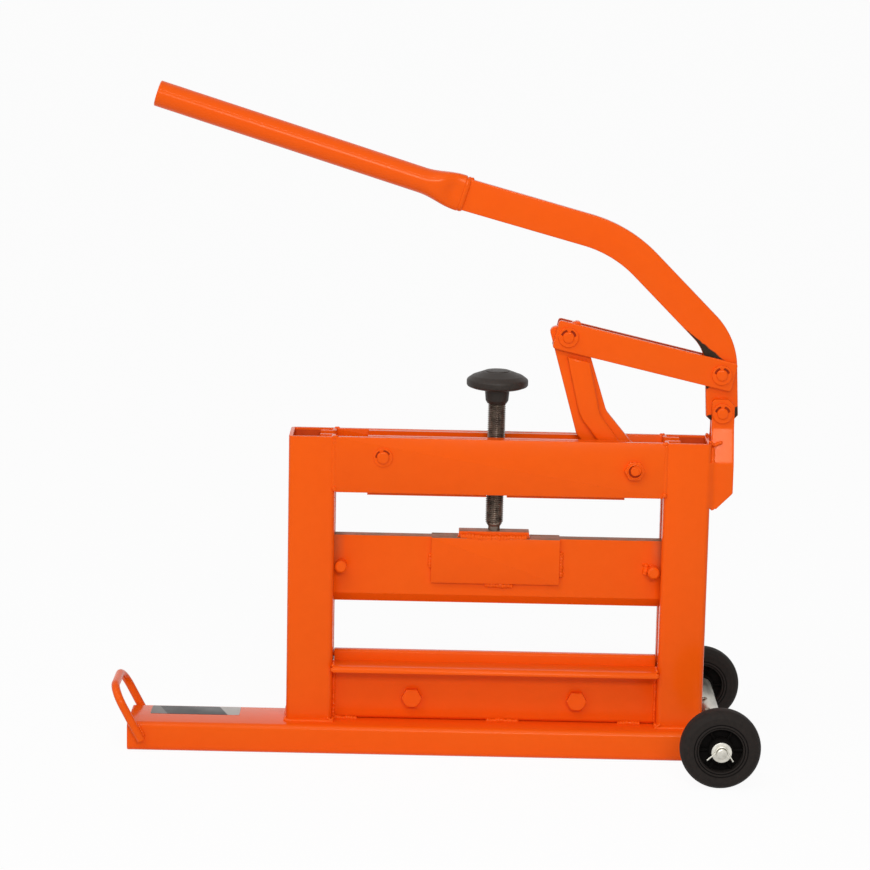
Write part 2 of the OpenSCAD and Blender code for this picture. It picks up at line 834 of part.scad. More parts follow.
module front_tyre() { color(black) at_wheel(-1) tyre(); }
module front_hub() { color(black) at_wheel(-1) hub(); }
module back_tyre() { color(black) at_wheel(1) tyre(); }
module back_hub() { color(black) at_wheel(1) hub(); }

base_rail();
left_post();
right_post();
front_top_rail();
back_top_rail();
front_anvil_angle();
back_anvil_angle();
lower_blade();
clamp_bolts();
clamp_nuts();
front_cheek();
back_cheek();
fulcrum_pin();
fulcrum_rings();
rocker_bolt();
rocker_nut();
press_pin();
carry_handle();
axle_tube();
axle();
axle_washers();
split_pins();
lever_bar();
handle_tube();
front_link();
back_link();
link_pins();
link_rings();
rocker_plate();
front_doubler();
back_doubler();
toe_pin();
front_press_plate();
back_press_plate();
nut_block();
upper_blade();
front_saddle();
back_saddle();
thrust_block();
guide_pins();
tip_retainer();
screw_spindle();
knob();
front_tyre();
front_hub();
back_tyre();
back_hub();
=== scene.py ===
# %% [markdown]
# # A hand-lever block splitter
# The splitter is a welded frame in orange powder coat. A long hand lever pulls two links, the links turn a
# rocker, and the rocker's toe presses a heavy lever between the top rails. A screw hangs from that lever
# and carries the upper blade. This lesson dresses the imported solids: each visible piece is worked out again
# as a smooth surface with rolled edges, real threads and weld beads, and stays in the place of the solid
# that it stands for.

# %% Load the frame
import json
import math

import bmesh
import bpy
import numpy as np
from mathutils import Matrix, Vector


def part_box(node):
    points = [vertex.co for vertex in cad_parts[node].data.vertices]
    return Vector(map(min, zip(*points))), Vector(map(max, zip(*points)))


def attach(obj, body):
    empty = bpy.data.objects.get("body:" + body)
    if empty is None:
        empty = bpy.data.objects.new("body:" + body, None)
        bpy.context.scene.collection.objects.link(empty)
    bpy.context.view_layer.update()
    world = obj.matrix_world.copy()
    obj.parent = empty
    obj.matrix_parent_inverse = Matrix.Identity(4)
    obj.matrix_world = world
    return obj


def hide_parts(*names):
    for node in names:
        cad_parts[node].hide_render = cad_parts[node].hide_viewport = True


MM = 0.001
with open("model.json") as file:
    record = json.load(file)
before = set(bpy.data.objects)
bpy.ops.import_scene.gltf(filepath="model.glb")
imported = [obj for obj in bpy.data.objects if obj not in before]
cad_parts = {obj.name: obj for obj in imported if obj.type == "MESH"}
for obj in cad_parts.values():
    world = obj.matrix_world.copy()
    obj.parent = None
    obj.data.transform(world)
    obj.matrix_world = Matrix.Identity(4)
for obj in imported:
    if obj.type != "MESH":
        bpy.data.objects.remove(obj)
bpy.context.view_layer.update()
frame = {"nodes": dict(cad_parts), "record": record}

# %% [markdown]
# ## The camera
# The view was worked out from the picture: a long lens about three metres away, looking a little down. The
# camera's axes are written as three vectors, because a fitted roll and tilt are easier to keep that way
# than as angles.

# %% Camera
FRAME_PX = 870
FOCAL_PX = 3020.2
SENSOR_MM = 36.0
PITCH, ROLL, YAW = np.radians([10.741, 1.1594, -0.119])
AIM = np.array([-0.0656, 0.0, 0.3241])
DISTANCE = 3.0426

scene = bpy.context.scene
forward = np.array([math.sin(YAW) * math.cos(PITCH), math.cos(YAW) * math.cos(PITCH), -math.sin(PITCH)])
level = np.array([math.cos(YAW), -math.sin(YAW), 0.0])
down = np.cross(forward, level)
right = math.cos(ROLL) * level - math.sin(ROLL) * down
below = math.sin(ROLL) * level + math.cos(ROLL) * down
lens = bpy.data.cameras.new("view")
lens.sensor_width = SENSOR_MM
lens.lens = SENSOR_MM * FOCAL_PX / FRAME_PX
lens.clip_end = 200
camera = bpy.data.objects.new("view", lens)
pose = Matrix((right, -below, -forward)).transposed().to_4x4()
pose.translation = AIM - DISTANCE * forward
camera.matrix_world = pose
scene.collection.objects.link(camera)
scene.camera = camera
print("camera at", [round(v, 3) for v in pose.translation], "lens", round(lens.lens, 1), "mm")

# %% [markdown]
# ## Nodes
# Every finish here is a small tree of shader nodes. One function adds a node, and short ones stand for the
# kinds that come again and again, such as a sum, a stretched range or a mix of two colours. Each is defined
# where it is first needed, and that keeps a finish as short as its description.


# %% Functions for nodes
def add(tree, kind, inputs=None, **settings):
    """Adds a node, sets its properties and its inputs: a socket is linked, anything else is a value."""
    made = tree.nodes.new(kind)
    for key, value in settings.items():
        setattr(made, key, value)
    for key, value in (inputs or {}).items():
        if isinstance(value, bpy.types.NodeSocket):
            tree.links.new(value, made.inputs[key])
        else:
            made.inputs[key].default_value = value
    return made


def maths(tree, operation, first, second=0.0):
    """The result of one arithmetic node."""
    return add(tree, "ShaderNodeMath", {0: first, 1: second}, operation=operation).outputs[0]


def linear(code):
    """sRGB hex to linear light: c / 12.92 when dark, else ((c + 0.055) / 1.055) to the power 2.4."""
    c = np.array([int(code[i : i + 2], 16) for i in (1, 3, 5)]) / 255
    lin = np.where(c <= 0.04045, c / 12.92, ((c + 0.055) / 1.055) ** 2.4)
    return (*[float(v) for v in lin], 1.0)


def seen(tree):
    """1 for rays from the camera, off gloss or through glass, 0 for the rays that only light things."""
    path = add(tree, "ShaderNodeLightPath").outputs
    direct = maths(tree, "MAXIMUM", path["Is Camera Ray"], path["Is Glossy Ray"])
    return maths(tree, "MAXIMUM", direct, path["Is Transmission Ray"])


print("node functions are ready")

# %% [markdown]
# ## Light and floor
# A product picture has light from everywhere: a white room, a very soft sky light from the upper left, one
# large lamp in front and a narrow strip above it, which draws the thin bright lines along the tube and the
# edges. The floor is pale and keeps a faint shadow. Rays that come straight from the camera, or off a shiny
# surface, see it and the room as plain white.

# %% Room and lamps
ROOM_LIGHT = 0.26
WHITE = linear("#ffffff")
scene.view_settings.view_transform = "Standard"
world = bpy.data.worlds.new("studio")
scene.world = world
world.use_nodes = True
tree = world.node_tree
tree.nodes.clear()
room = add(tree, "ShaderNodeBackground", {"Color": WHITE, "Strength": ROOM_LIGHT})
shown = add(tree, "ShaderNodeBackground", {"Color": WHITE, "Strength": 1.0})
both = add(tree, "ShaderNodeMixShader", {0: seen(tree), 1: room.outputs[0], 2: shown.outputs[0]})
add(tree, "ShaderNodeOutputWorld", {"Surface": both.outputs[0]})


def lamp(name, place, aim, wide, tall, watts):
    """A flat box lamp at a place, turned to an aim point."""
    data = bpy.data.lights.new(name, "AREA")
    data.energy = watts
    data.shape = "RECTANGLE"
    data.size = wide
    data.size_y = tall
    made = bpy.data.objects.new(name, data)
    made.location = place
    made.rotation_euler = (Vector(aim) - Vector(place)).to_track_quat("-Z", "Y").to_euler()
    scene.collection.objects.link(made)


lamp("front_box", (0.3, -2.7, 1.46), (0, 0, 0.3), 1.1, 0.5, 28)
lamp("top_strip", (-0.3, -1.2, 1.75), (-0.05, 0, 0.3), 1.6, 0.08, 5.2)
sky = bpy.data.lights.new("soft_sky", "SUN")
sky.energy = 1.15
sky.angle = math.radians(70)
sun = bpy.data.objects.new("soft_sky", sky)
sun.rotation_euler = (math.radians(26), math.radians(-30), 0)
scene.collection.objects.link(sun)
print("room light", ROOM_LIGHT, "with two lamps and a soft sky")

# %% [markdown]
# The floor is one large square, a hair below the wheels so that it doesn't cut them. Most of what the
# camera sees of it is plain white, and the small rest is a matt floor, which brings the soft shadow.


# %% Floor
def blank(name):
    """A new material with an empty node tree."""
    made = bpy.data.materials.new(name)
    made.use_nodes = True
    made.node_tree.nodes.clear()
    return made, made.node_tree


def surface(tree, shader):
    """Puts a shader on the material's output."""
    add(tree, "ShaderNodeOutputMaterial", {"Surface": shader.outputs[0]})


FLOOR_HALF = 40.0
FLOOR_DROP = 0.4 * MM
PLAIN_SHARE = 0.94
square = np.array([[-1, -1, 0], [1, -1, 0], [1, 1, 0], [-1, 1, 0]]) * FLOOR_HALF
floor_mesh = bpy.data.meshes.new("floor")
floor_mesh.from_pydata((square - [0, 0, FLOOR_DROP]).tolist(), [], [(0, 1, 2, 3)])
floor = bpy.data.objects.new("floor", floor_mesh)
scene.collection.objects.link(floor)
pale, tree = blank("pale studio floor")
matt = add(tree, "ShaderNodeBsdfDiffuse", {"Color": linear("#f4f4f4")})
glow = add(tree, "ShaderNodeEmission", {"Color": WHITE, "Strength": 1.0})
bright = add(tree, "ShaderNodeMixShader", {0: PLAIN_SHARE, 1: matt.outputs[0], 2: glow.outputs[0]})
surface(tree, add(tree, "ShaderNodeMixShader", {0: seen(tree), 1: matt.outputs[0], 2: bright.outputs[0]}))
floor_mesh.materials.append(pale)
print("floor is", 2 * FLOOR_HALF, "m wide")

# %% [markdown]
# ## Finishes
# Powder coat is sprayed as dust and melted on. It is a thick, even, half-glossy skin with a fine
# orange-peel ripple, and it rounds every edge. Where two plates lie on each other no powder gets in, so the
# steel there stays dark. The coat is one function with a mask for bare steel, because several pieces wear
# the same paint with other bare places.


# %% Orange powder coat
def object_place(tree):
    """The point being shaded, in the piece's own metres."""
    return add(tree, "ShaderNodeTexCoord").outputs["Object"]


def spotted(tree, place, scale, detail, rough=0.5):
    """Noise with a real size: scale is the number of spots in a metre, so 330 gives spots of 3 mm."""
    inputs = {"Vector": place, "Scale": scale, "Detail": detail, "Roughness": rough}
    return add(tree, "ShaderNodeTexNoise", inputs).outputs["Fac"]


def ranged(tree, value, low, high, to_low=0.0, to_high=1.0):
    """A value stretched from low..high to to_low..to_high and held at both ends."""
    return add(tree, "ShaderNodeMapRange", {0: value, 1: low, 2: high, 3: to_low, 4: to_high}).outputs[0]


def mix_colour(tree, factor, first, second):
    """The first colour where factor is 0, the second where it is 1."""
    return add(tree, "ShaderNodeMix", {0: factor, 6: first, 7: second}, data_type="RGBA").outputs[2]


def coat_nodes(tree, bare=None, steel_tones=("#191510", "#3a3128")):
    """Powder coat: slow drift between two oranges, 3 mm orange peel as bump, and steel where bare is 1."""
    place = object_place(tree)
    drift = spotted(tree, place, 9.0, 3.0, 0.55)
    speck = spotted(tree, place, 70.0, 4.0, 0.6)
    peel = spotted(tree, place, 330.0, 2.0)
    tone = mix_colour(tree, drift, linear("#f0560a"), linear("#ec5d10"))
    fleck = ranged(tree, speck, 0.35, 0.7, 0.0, 0.12)
    colour = mix_colour(tree, fleck, tone, linear("#d94a08"))
    rough = ranged(tree, speck, 0.3, 0.7, 0.16, 0.24)
    if bare is not None:
        steel = mix_colour(tree, speck, linear(steel_tones[0]), linear(steel_tones[1]))
        colour = mix_colour(tree, bare, colour, steel)
        rough = add(tree, "ShaderNodeMix", {0: bare, 2: rough, 3: 0.55}).outputs[0]
    ripple = add(tree, "ShaderNodeBump", {"Height": peel, "Strength": 0.10, "Distance": 0.4 * MM})
    return add(tree, "ShaderNodeBsdfPrincipled", {"Base Color": colour, "Roughness": rough,
               "Specular IOR Level": 0.16, "Specular Tint": linear("#ffe2c0"), "Normal": ripple.outputs[0]})


powder, tree = blank("orange powder coat")
surface(tree, coat_nodes(tree))
print("made", powder.name)

# %% [markdown]
# The other finishes are plainer: black oiled steel on the screw, zinc plate on the axle, rubber, moulded
# plastic, and two darker coats that paint the shade inside the posts and in gaps. Each is two close colours,
# two roughnesses and a faint ripple of one grain.


# %% Steel, zinc, rubber, plastic and painted shade
def finish(name, dark, light, scale, rough, metallic=0.0, bump=0.08, stretch=(1, 1, 1), shine=0.5):
    """A plain finish: noise of one scale mixes two colours and two roughnesses, and ripples the surface."""
    made, tree = blank(name)
    place = add(tree, "ShaderNodeMapping", {"Vector": object_place(tree), "Scale": stretch}).outputs[0]
    spots = spotted(tree, place, scale, 5.0, 0.6)
    colour = mix_colour(tree, ranged(tree, spots, 0.3, 0.7), linear(dark), linear(light))
    rub = ranged(tree, spots, 0.3, 0.7, *rough)
    ripple = add(tree, "ShaderNodeBump", {"Height": spots, "Strength": bump, "Distance": 0.3 * MM})
    surface(tree, add(tree, "ShaderNodeBsdfPrincipled", {"Base Color": colour, "Metallic": metallic,
            "Roughness": rub, "Specular IOR Level": shine, "Normal": ripple.outputs[0]}))
    return made


# Oiled steel: black oxide with brown oil in it, so the crests of the thread shine and the roots stay dark.
oiled = finish("oiled dark steel", "#4a3f37", "#8d7e71", 160.0, (0.26, 0.42), metallic=0.7)
# Zinc plate: bright, a little cloudy, with fine draw marks along the axle.
DRAWN = (1, 0.2, 1)
zinc = finish("zinc plated steel", "#b3b0a6", "#e4e1d6", 90.0, (0.28, 0.42), metallic=0.85, stretch=DRAWN)
# Tyre rubber: carbon black, matt, with a fine moulded grain.
rubber = finish("black tyre rubber", "#1d1917", "#2a2522", 220.0, (0.62, 0.8), bump=0.25, shine=0.12)
# Moulded plastic: black, satin, fine spark texture from the tool.
plastic = finish("black moulded plastic", "#211b17", "#2f2721", 380.0, (0.42, 0.55), bump=0.12, shine=0.25)
# Hub plastic: the same black, but duller and deeper, as painted shade, so that the recess of the wheel stays
# dark.
hub_black_shaded = finish("dull black hub plastic with painted shade", "#0b0a09", "#141110", 300.0, (0.6, 0.75), bump=0.1, shine=0.04)
# Painted shade inside the posts: a dull, deeper orange that stands in for the shadow deep in the channel.
post_inside_shade = finish("painted shade inside the posts", "#bf3c04", "#d04808", 160.0, (0.45, 0.6), shine=0.1)
# Painted shade: a dull, rust-dark coat on thin sheets put in gaps and recesses, where shadow falls.
painted_gap_shade = finish("dark coat for painted shade in gaps", "#8f2a04", "#b23c08", 160.0, (0.5, 0.65), shine=0.15)
print("finishes:", [m.name for m in (oiled, zinc, rubber, plastic, hub_black_shaded, post_inside_shade, painted_gap_shade)])

# %% [markdown]
# ## Shapes from arrays
# Every new piece is a grid of points, and the work is in millimetres: the points become metres when the
# mesh is made. The grid is turned into faces here, and the piece is told which body it rides on and which
# solid it stands for.


# %% Grid to mesh
def skin(points, close_rows=False, cap=False):
    """A grid of points (rows, columns, 3) as quads; columns close into a ring, caps close the end rings."""
    rows, columns = points.shape[:2]
    i = np.arange(rows if close_rows else rows - 1)[:, None]
    j = np.arange(columns)[None, :]
    i2, j2 = (i + 1) % rows, (j + 1) % columns
    here, ahead = i * columns, i2 * columns
    quads = np.stack([here + j, here + j2, ahead + j2, ahead + j], -1).reshape(-1, 4)
    ring = np.arange(columns)
    caps = [ring[::-1], ring + (rows - 1) * columns] if cap else []
    return points.reshape(-1, 3), quads, caps


def piece(name, shells, body, material, replaces=(), sharp=40):
    """Joins shells into one mesh, merges doubles, turns faces out, smooths below an angle, and rides it."""
    starts = np.cumsum([0] + [len(s[0]) for s in shells])
    points = np.concatenate([s[0] for s in shells]) * MM
    faces = np.concatenate([s[1] + at for s, at in zip(shells, starts)]).tolist()
    faces += [(cap + at).tolist() for s, at in zip(shells, starts) for cap in s[2]]
    mesh = bpy.data.meshes.new(name)
    mesh.from_pydata(points.tolist(), [], faces)
    work = bmesh.new()
    work.from_mesh(mesh)
    bmesh.ops.remove_doubles(work, verts=work.verts, dist=1e-6)
    bmesh.ops.recalc_face_normals(work, faces=work.faces)
    work.to_mesh(mesh)
    work.free()
    mesh.shade_smooth()
    mesh.set_sharp_from_angle(angle=math.radians(sharp))
    mesh.materials.append(material)
    made = bpy.data.objects.new(name, mesh)
    scene.collection.objects.link(made)
    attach(made, body)
    if replaces:
        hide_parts(*replaces)
    print(name, len(mesh.polygons), "faces")


def painted(name, shells, body, replaces=(), sharp=40):
    """A piece in the plain orange coat."""
    piece(name, shells, body, powder, replaces, sharp)


def box(node):
    """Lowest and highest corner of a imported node, in millimetres."""
    low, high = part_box(node)
    return np.array(low) / MM, np.array(high) / MM


print("the base is", (box("base_rail")[1] - box("base_rail")[0]).round(1), "mm")

# %% [markdown]
# Plates and profiles begin as flat outlines. Real ones are never sharp, so corners are rounded with arcs,
# and a bent strip is drawn as a ribbon along its middle line, as a bender would lay it out.


# %% Outlines
def unit(v):
    """Each vector divided by its own length."""
    return v / np.linalg.norm(v, axis=-1, keepdims=True)


def across(v):
    """A quarter turn to the left of each vector."""
    return np.stack([-v[..., 1], v[..., 0]], -1)


def arcs(before, at, after, radius, steps):
    """Arcs that round corners before-at-after: centre on the bisector, at radius / sin(half the angle)."""
    u, v = unit(before - at), unit(after - at)
    half = np.arccos(np.clip((u * v).sum(-1, keepdims=True), -1, 1)) / 2
    middle = at + unit(u + v) * radius / np.sin(half)
    s = at + u * radius / np.tan(half) - middle
    e = at + v * radius / np.tan(half) - middle
    turn = np.arctan2(s[:, 0] * e[:, 1] - s[:, 1] * e[:, 0], (s * e).sum(-1))
    angle = np.arctan2(s[:, 1], s[:, 0])[:, None] + turn[:, None] * np.linspace(0, 1, steps + 1)
    ring = np.stack([np.cos(angle), np.sin(angle)], -1) * radius[:, None]
    return (middle[:, None] + ring).reshape(-1, 2)


def rounded(corners, radius, steps=5):
    """A closed outline with every corner rounded; radius is one number or one for each corner."""
    at = np.array(corners, float)
    r = np.broadcast_to(np.array(radius, float), len(at))[:, None]
    return arcs(np.roll(at, 1, 0), at, np.roll(at, -1, 0), r, steps)


def bent(path, radius, steps=12):
    """An open path whose inner corners are rounded."""
    at = np.array(path, float)
    r = np.broadcast_to(np.array(radius, float), len(at) - 2)[:, None]
    return np.concatenate([at[:1], arcs(at[:-2], at[1:-1], at[2:], r, steps), at[-1:]])


def ribbon(path, width):
    """Outline of a strip that follows a path: half the width to each side, along the mitre of each bend."""
    way = unit(np.diff(path, axis=0))
    first, last = np.vstack([way[:1], way]), np.vstack([way, way[-1:]])
    side = across(first) + across(last)
    side /= (side * across(first)).sum(-1, keepdims=True)
    return np.concatenate([path + side * width / 2, (path - side * width / 2)[::-1]])


def drawn_in(outline, inset):
    """A closed outline moved inwards along the mitre of its neighbouring sides."""
    ahead = np.roll(outline, -1, 0)
    area = (outline[:, 0] * ahead[:, 1] - outline[:, 1] * ahead[:, 0]).sum()
    normal = across(unit(ahead - outline)) * np.sign(area)
    before = np.roll(normal, 1, 0)
    return outline + inset * (before + normal) / (1 + (before * normal).sum(-1, keepdims=True))


def spaced(path, step):
    """A path sampled again at even steps along its length."""
    path = np.array(path, float)
    run = np.concatenate([[0], np.cumsum(np.linalg.norm(np.diff(path, axis=0), axis=1))])
    at = np.linspace(0, run[-1], max(int(run[-1] / step), 4))
    return np.stack([np.interp(at, run, path[:, k]) for k in range(path.shape[1])], -1)


print("a rounded square has", len(rounded([(0, 0), (9, 0), (9, 9), (0, 9)], 2)), "points")

# %% [markdown]
# A plate is its outline, drawn in a little at both faces so that its edges roll over. A turned piece is a
# profile carried round an axis, and a bar is a circle carried along a path. Blender's own bevel could roll
# the edges too, but this way each edge has its own size and the mesh stays even.


# %% Plates, tubes, turned pieces and bars
def ordered(points, order):
    """Local columns a, b, c put on the axes that order names, such as "xzy" for a plate facing -Y."""
    made = np.empty_like(points)
    made[..., ["xyz".index(c) for c in order]] = points
    return made


def slab(outline, low, high, edge, order, steps=3):
    """A plate: the outline from low to high, drawn in by edge * (1 - sin t) at depth edge * (1 - cos t)."""
    t = np.linspace(0, math.pi / 2, steps + 1)
    inset = np.concatenate([edge * (1 - np.sin(t)), edge * (1 - np.sin(t[::-1]))])
    depth = np.concatenate([low + edge * (1 - np.cos(t)), high - edge * (1 - np.cos(t[::-1]))])
    rings = [np.column_stack([drawn_in(outline, i), np.full(len(outline), d)]) for i, d in zip(inset, depth)]
    return skin(ordered(np.array(rings), order), cap=True)


def block(low, high, edge):
    """A rectangular bar between two corners, all its edges rolled."""
    corners = [(low[0], low[2]), (high[0], low[2]), (high[0], high[2]), (low[0], high[2])]
    return slab(rounded(corners, edge), low[1], high[1], edge, "xzy")


def pipe(outer, inner, low, high, edge, order):
    """An open tube of any section: outer wall, end, inner wall, end, as one closed ring of rings."""
    rows = [(outer, edge, low), (outer, 0, low + edge), (outer, 0, high - edge), (outer, edge, high),
            (inner, -edge, high), (inner, 0, high - edge), (inner, 0, low + edge), (inner, -edge, low)]
    rings = [np.column_stack([drawn_in(o, i), np.full(len(o), d)]) for o, i, d in rows]
    return skin(ordered(np.array(rings), order), close_rows=True)


def turned(profile, centre, order="xzy", steps=64, ring=False):
    """A turned piece: each (radius, height) of the profile goes round the axis through centre."""
    profile = np.array(profile, float)
    angle = np.linspace(0, 2 * math.pi, steps, endpoint=False)
    a = centre[0] + profile[:, :1] * np.cos(angle)
    b = centre[1] + profile[:, :1] * np.sin(angle)
    c = np.broadcast_to(profile[:, 1:], a.shape)
    return skin(ordered(np.stack([a, b, c], -1), order), close_rows=ring)


def rod(path, radius, up, sides=20):
    """A round bar: a circle of the given radius carried along a path, square to a fixed direction up."""
    path = np.array(path, float)
    way = unit(np.gradient(path, axis=0))
    up = np.array(up, float)
    normal = unit(up - (way @ up)[:, None] * way)
    side = np.cross(way, normal)
    angle = np.linspace(0, 2 * math.pi, sides, endpoint=False)
    r = np.broadcast_to(np.array(radius, float), len(path))[:, None, None]
    ring = np.cos(angle)[None, :, None] * normal[:, None] + np.sin(angle)[None, :, None] * side[:, None]
    return skin(path[:, None] + r * ring, cap=True)


def bead(path, radius, up=(0, 0, 1), pitch=3.0, seed=1, wild=1.0):
    """A weld bead: a bar whose radius swells once for each drop of metal, with some sway and round ends."""
    path = spaced(path, 0.5)
    s = np.linspace(0, 1, len(path))
    length = 0.5 * len(path)
    rng = np.random.default_rng(seed)
    drops = max(int(length / pitch), 3)
    slow = np.interp(s, np.linspace(0, 1, drops), 1 + wild * rng.uniform(-0.18, 0.12, drops))
    sway = np.interp(s, np.linspace(0, 1, drops), wild * rng.uniform(-0.25, 0.25, drops)) * radius
    swell = 1 + wild * (0.22 * np.abs(np.sin(math.pi * s * length / pitch)) - 0.09)
    inward = np.clip(np.minimum(s, 1 - s) * length / radius, 0, 1)
    ends = np.sqrt(np.clip(1 - (1 - inward) ** 2, 0.02, 1))
    return rod(path + sway[:, None] * np.array(up, float), radius * slow * swell * ends, up, sides=12)


print("a small block has", len(block((0, 0, 0), (9, 9, 9), 1)[0]), "points")

# %% [markdown]
# Bolts need two special forms. A hexagon's corners are cut by a cone, which leaves the curved bright lines
# on its faces. A thread is a height field round a cylinder, so the radius follows height and angle
# together.


# %% Hexagons and threads
def hexed(centre, flats, low, high, steps=96, bore=0.0):
    """A nut or head: radius is the smaller of the hexagon's and of a cone near its free face (low)."""
    angle = np.linspace(0, 2 * math.pi, steps, endpoint=False)
    hexagon = flats / 2 / np.cos(np.mod(angle, math.pi / 3) - math.pi / 6)
    depth = np.array([0, 0.25, 0.5, 0.8, 1.1, 1.5, 2.2, abs(high - low)])
    cone = 0.97 * flats / 2 + depth[:, None] * 1.73
    radius = np.vstack([np.full(steps, bore), np.minimum(hexagon, cone), np.full(steps, bore)])
    depth = np.concatenate([[0], depth, [abs(high - low)]])
    y = low + np.sign(high - low) * np.broadcast_to(depth[:, None], radius.shape)
    points = np.stack([centre[0] + radius * np.cos(angle), y, centre[1] + radius * np.sin(angle)], -1)
    return skin(points, close_rows=bore > 0)


def threaded(centre, diameter, pitch, depth, low, high, order="xyz", sides=36, rows=8):
    """A thread: radius falls from the crest with |2 * phase - 1|; phase = height / pitch - angle / turn."""
    h = np.arange(low, high + 1e-6, pitch / rows)[:, None]
    angle = np.linspace(0, 2 * math.pi, sides, endpoint=False)[None, :]
    phase = np.mod(h / pitch - angle / (2 * math.pi), 1)
    wave = np.clip(np.abs(2 * phase - 1) * 1.5 - 0.3, 0, 1)
    ease = np.minimum(1, np.minimum(h - low, high - h) / pitch)
    radius = diameter / 2 - depth * (1 - (1 - wave) * ease)
    points = np.stack([centre[0] + radius * np.cos(angle), centre[1] + radius * np.sin(angle),
                       np.broadcast_to(h, radius.shape)], -1)
    return skin(ordered(points, order), cap=True)


print("shape functions are ready")

# %% [markdown]
# ## Where things are
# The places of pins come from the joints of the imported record, and the faces of plates from the boxes of
# its nodes, so that the dressing follows the solids.

# %% Pivots and faces
joint = {j["name"]: np.array(j["pos_m"]) / MM for j in frame["record"]["behaviour"]["joints"] if "pos_m" in j}
fulcrum, upper_pin, rocker_axis, press_axis, axle_at = [joint[name][[0, 2]] for name in (
    "handle_swing", "link_turn", "rocker_swing", "press_swing", "front_wheel_spin")]
screw_x = joint["knob_turn"][0]
fulcrum_low, fulcrum_high = box("fulcrum_pin")
PIN_R = (fulcrum_high[0] - fulcrum_low[0]) / 2
pins_low, pins_high = box("link_pins")
left_pin = np.array([pins_low[0] + PIN_R, pins_high[2] - PIN_R])
base_low, base_high = box("base_rail")
right_low, right_high = box("right_post")
post_in, post_out, post_y = right_low[0], right_high[0], right_high[1]
print("fulcrum", fulcrum, "left pin", left_pin.round(1), "posts", post_in, "to", post_out)

# %% [markdown]
# ## Frame
# The base is a rectangular tube with rolled corners. The posts are lipped channels: one strip of sheet bent
# six times, so the section is drawn as a ribbon along the middle of the sheet. A thin lining inside each
# post carries a darker coat there: painted shade for the deep inside of the channel.

# %% Base and posts
WALL = 3.0
CORNER_R = 5.5
middle = (base_low[1:] + base_high[1:]) / 2
half = (base_high[1:] - base_low[1:]) / 2
signs = np.array([[-1, -1], [1, -1], [1, 1], [-1, 1]])
tube_outer = rounded(signs * half + middle, CORNER_R)
tube_inner = rounded(signs * (half - WALL) + middle, CORNER_R - WALL)
base_tube = pipe(tube_outer, tube_inner, base_low[0], base_high[0], 0.5, "yzx")
painted("base_tube", [base_tube], "frame", ["base_rail"])

SHEET = 4.0
LIP = 16.0
SLOT_HALF = 8.0
BEND, LIP_BEND = 3.0, 2.1
COAT_GAP = 0.1


def post_strip(side):
    """Middle line of the bent sheet, from one lip round the channel to the other."""
    face, back = side * (post_in + SHEET / 2), side * (post_out - SHEET / 2)
    lip_y, wall_y = SLOT_HALF + SHEET / 2, post_y - SHEET / 2
    lip_x = side * (post_in + LIP)
    way = [(lip_x, lip_y), (face, lip_y), (face, wall_y), (back, wall_y),
           (back, -wall_y), (face, -wall_y), (face, -lip_y), (lip_x, -lip_y)]
    return bent(way, [LIP_BEND, BEND, BEND, BEND, BEND, LIP_BEND], 5)


def shade_lining(side):
    """Middle line of the painted shade inside: along one wall, the back and the other wall."""
    face, back = side * (post_in + SHEET + 1), side * (post_out - SHEET - COAT_GAP)
    wall_y = post_y - SHEET - COAT_GAP
    way = [(face, wall_y), (back, wall_y), (back, -wall_y), (face, -wall_y)]
    return bent(way, BEND - SHEET / 2 - COAT_GAP, 5)


for name, side in (("left", -1), ("right", 1)):
    low, high = box(name + "_post")
    strip = ribbon(post_strip(side), SHEET)
    painted(name + "_channel", [slab(strip, low[2], high[2], 0.5, "xyz")], "frame", [name + "_post"])
    # a thin sheet in a darker coat along the inner walls paints the shade inside the channel
    shade = slab(ribbon(shade_lining(side), 3 * COAT_GAP), low[2] + 1, high[2] - 2, 0.05, "xyz")
    piece(name + "_channel_inside_shade", [shade], "frame", post_inside_shade)

# %% [markdown]
# The top rails and the lower blade are cut from flat bar. The angles have a rolled nose and a rounded toe,
# which leaves a dark line where they stand on the base.

# %% Rails, angles and lower blade
for name in ("front_top_rail", "back_top_rail"):
    painted(name + "_bar", [block(*box(name), 0.9)], "frame", [name])

ANGLE_T = 6.0
HEEL_R, BACK_R, NOSE_R, LIP_R, INSIDE_R, TOE_R = 0.3, 0.6, 4.9, 0.9, 5.0, 4.5
for name, side in (("front", -1), ("back", 1)):
    low, high = box(name + "_anvil_angle")
    near, far = (high[1], low[1]) if side < 0 else (low[1], high[1])
    top, bottom, leg = high[2], low[2], near + side * ANGLE_T
    under = top - ANGLE_T
    corners = [(near, bottom), (near, top), (far, top), (far, under), (leg, under), (leg, bottom)]
    section = rounded(corners, [HEEL_R, BACK_R, NOSE_R, LIP_R, INSIDE_R, TOE_R], 7)
    painted(name + "_angle", [slab(section, low[0], high[0], 0.5, "yzx")], "frame", [name + "_anvil_angle"])

CHAMFER = 2.0
low, high = box("lower_blade")
section = rounded([(low[1], low[2]), (high[1], low[2]), (high[1], high[2] - CHAMFER),
                   (high[1] - CHAMFER, high[2]), (low[1] + CHAMFER, high[2]), (low[1], high[2] - CHAMFER)],
                  [0.4, 0.4, 0.9, 0.9, 0.9, 0.9])
painted("lower_edge_bar", [slab(section, low[0], high[0], 0.6, "yzx")], "frame", ["lower_blade"])
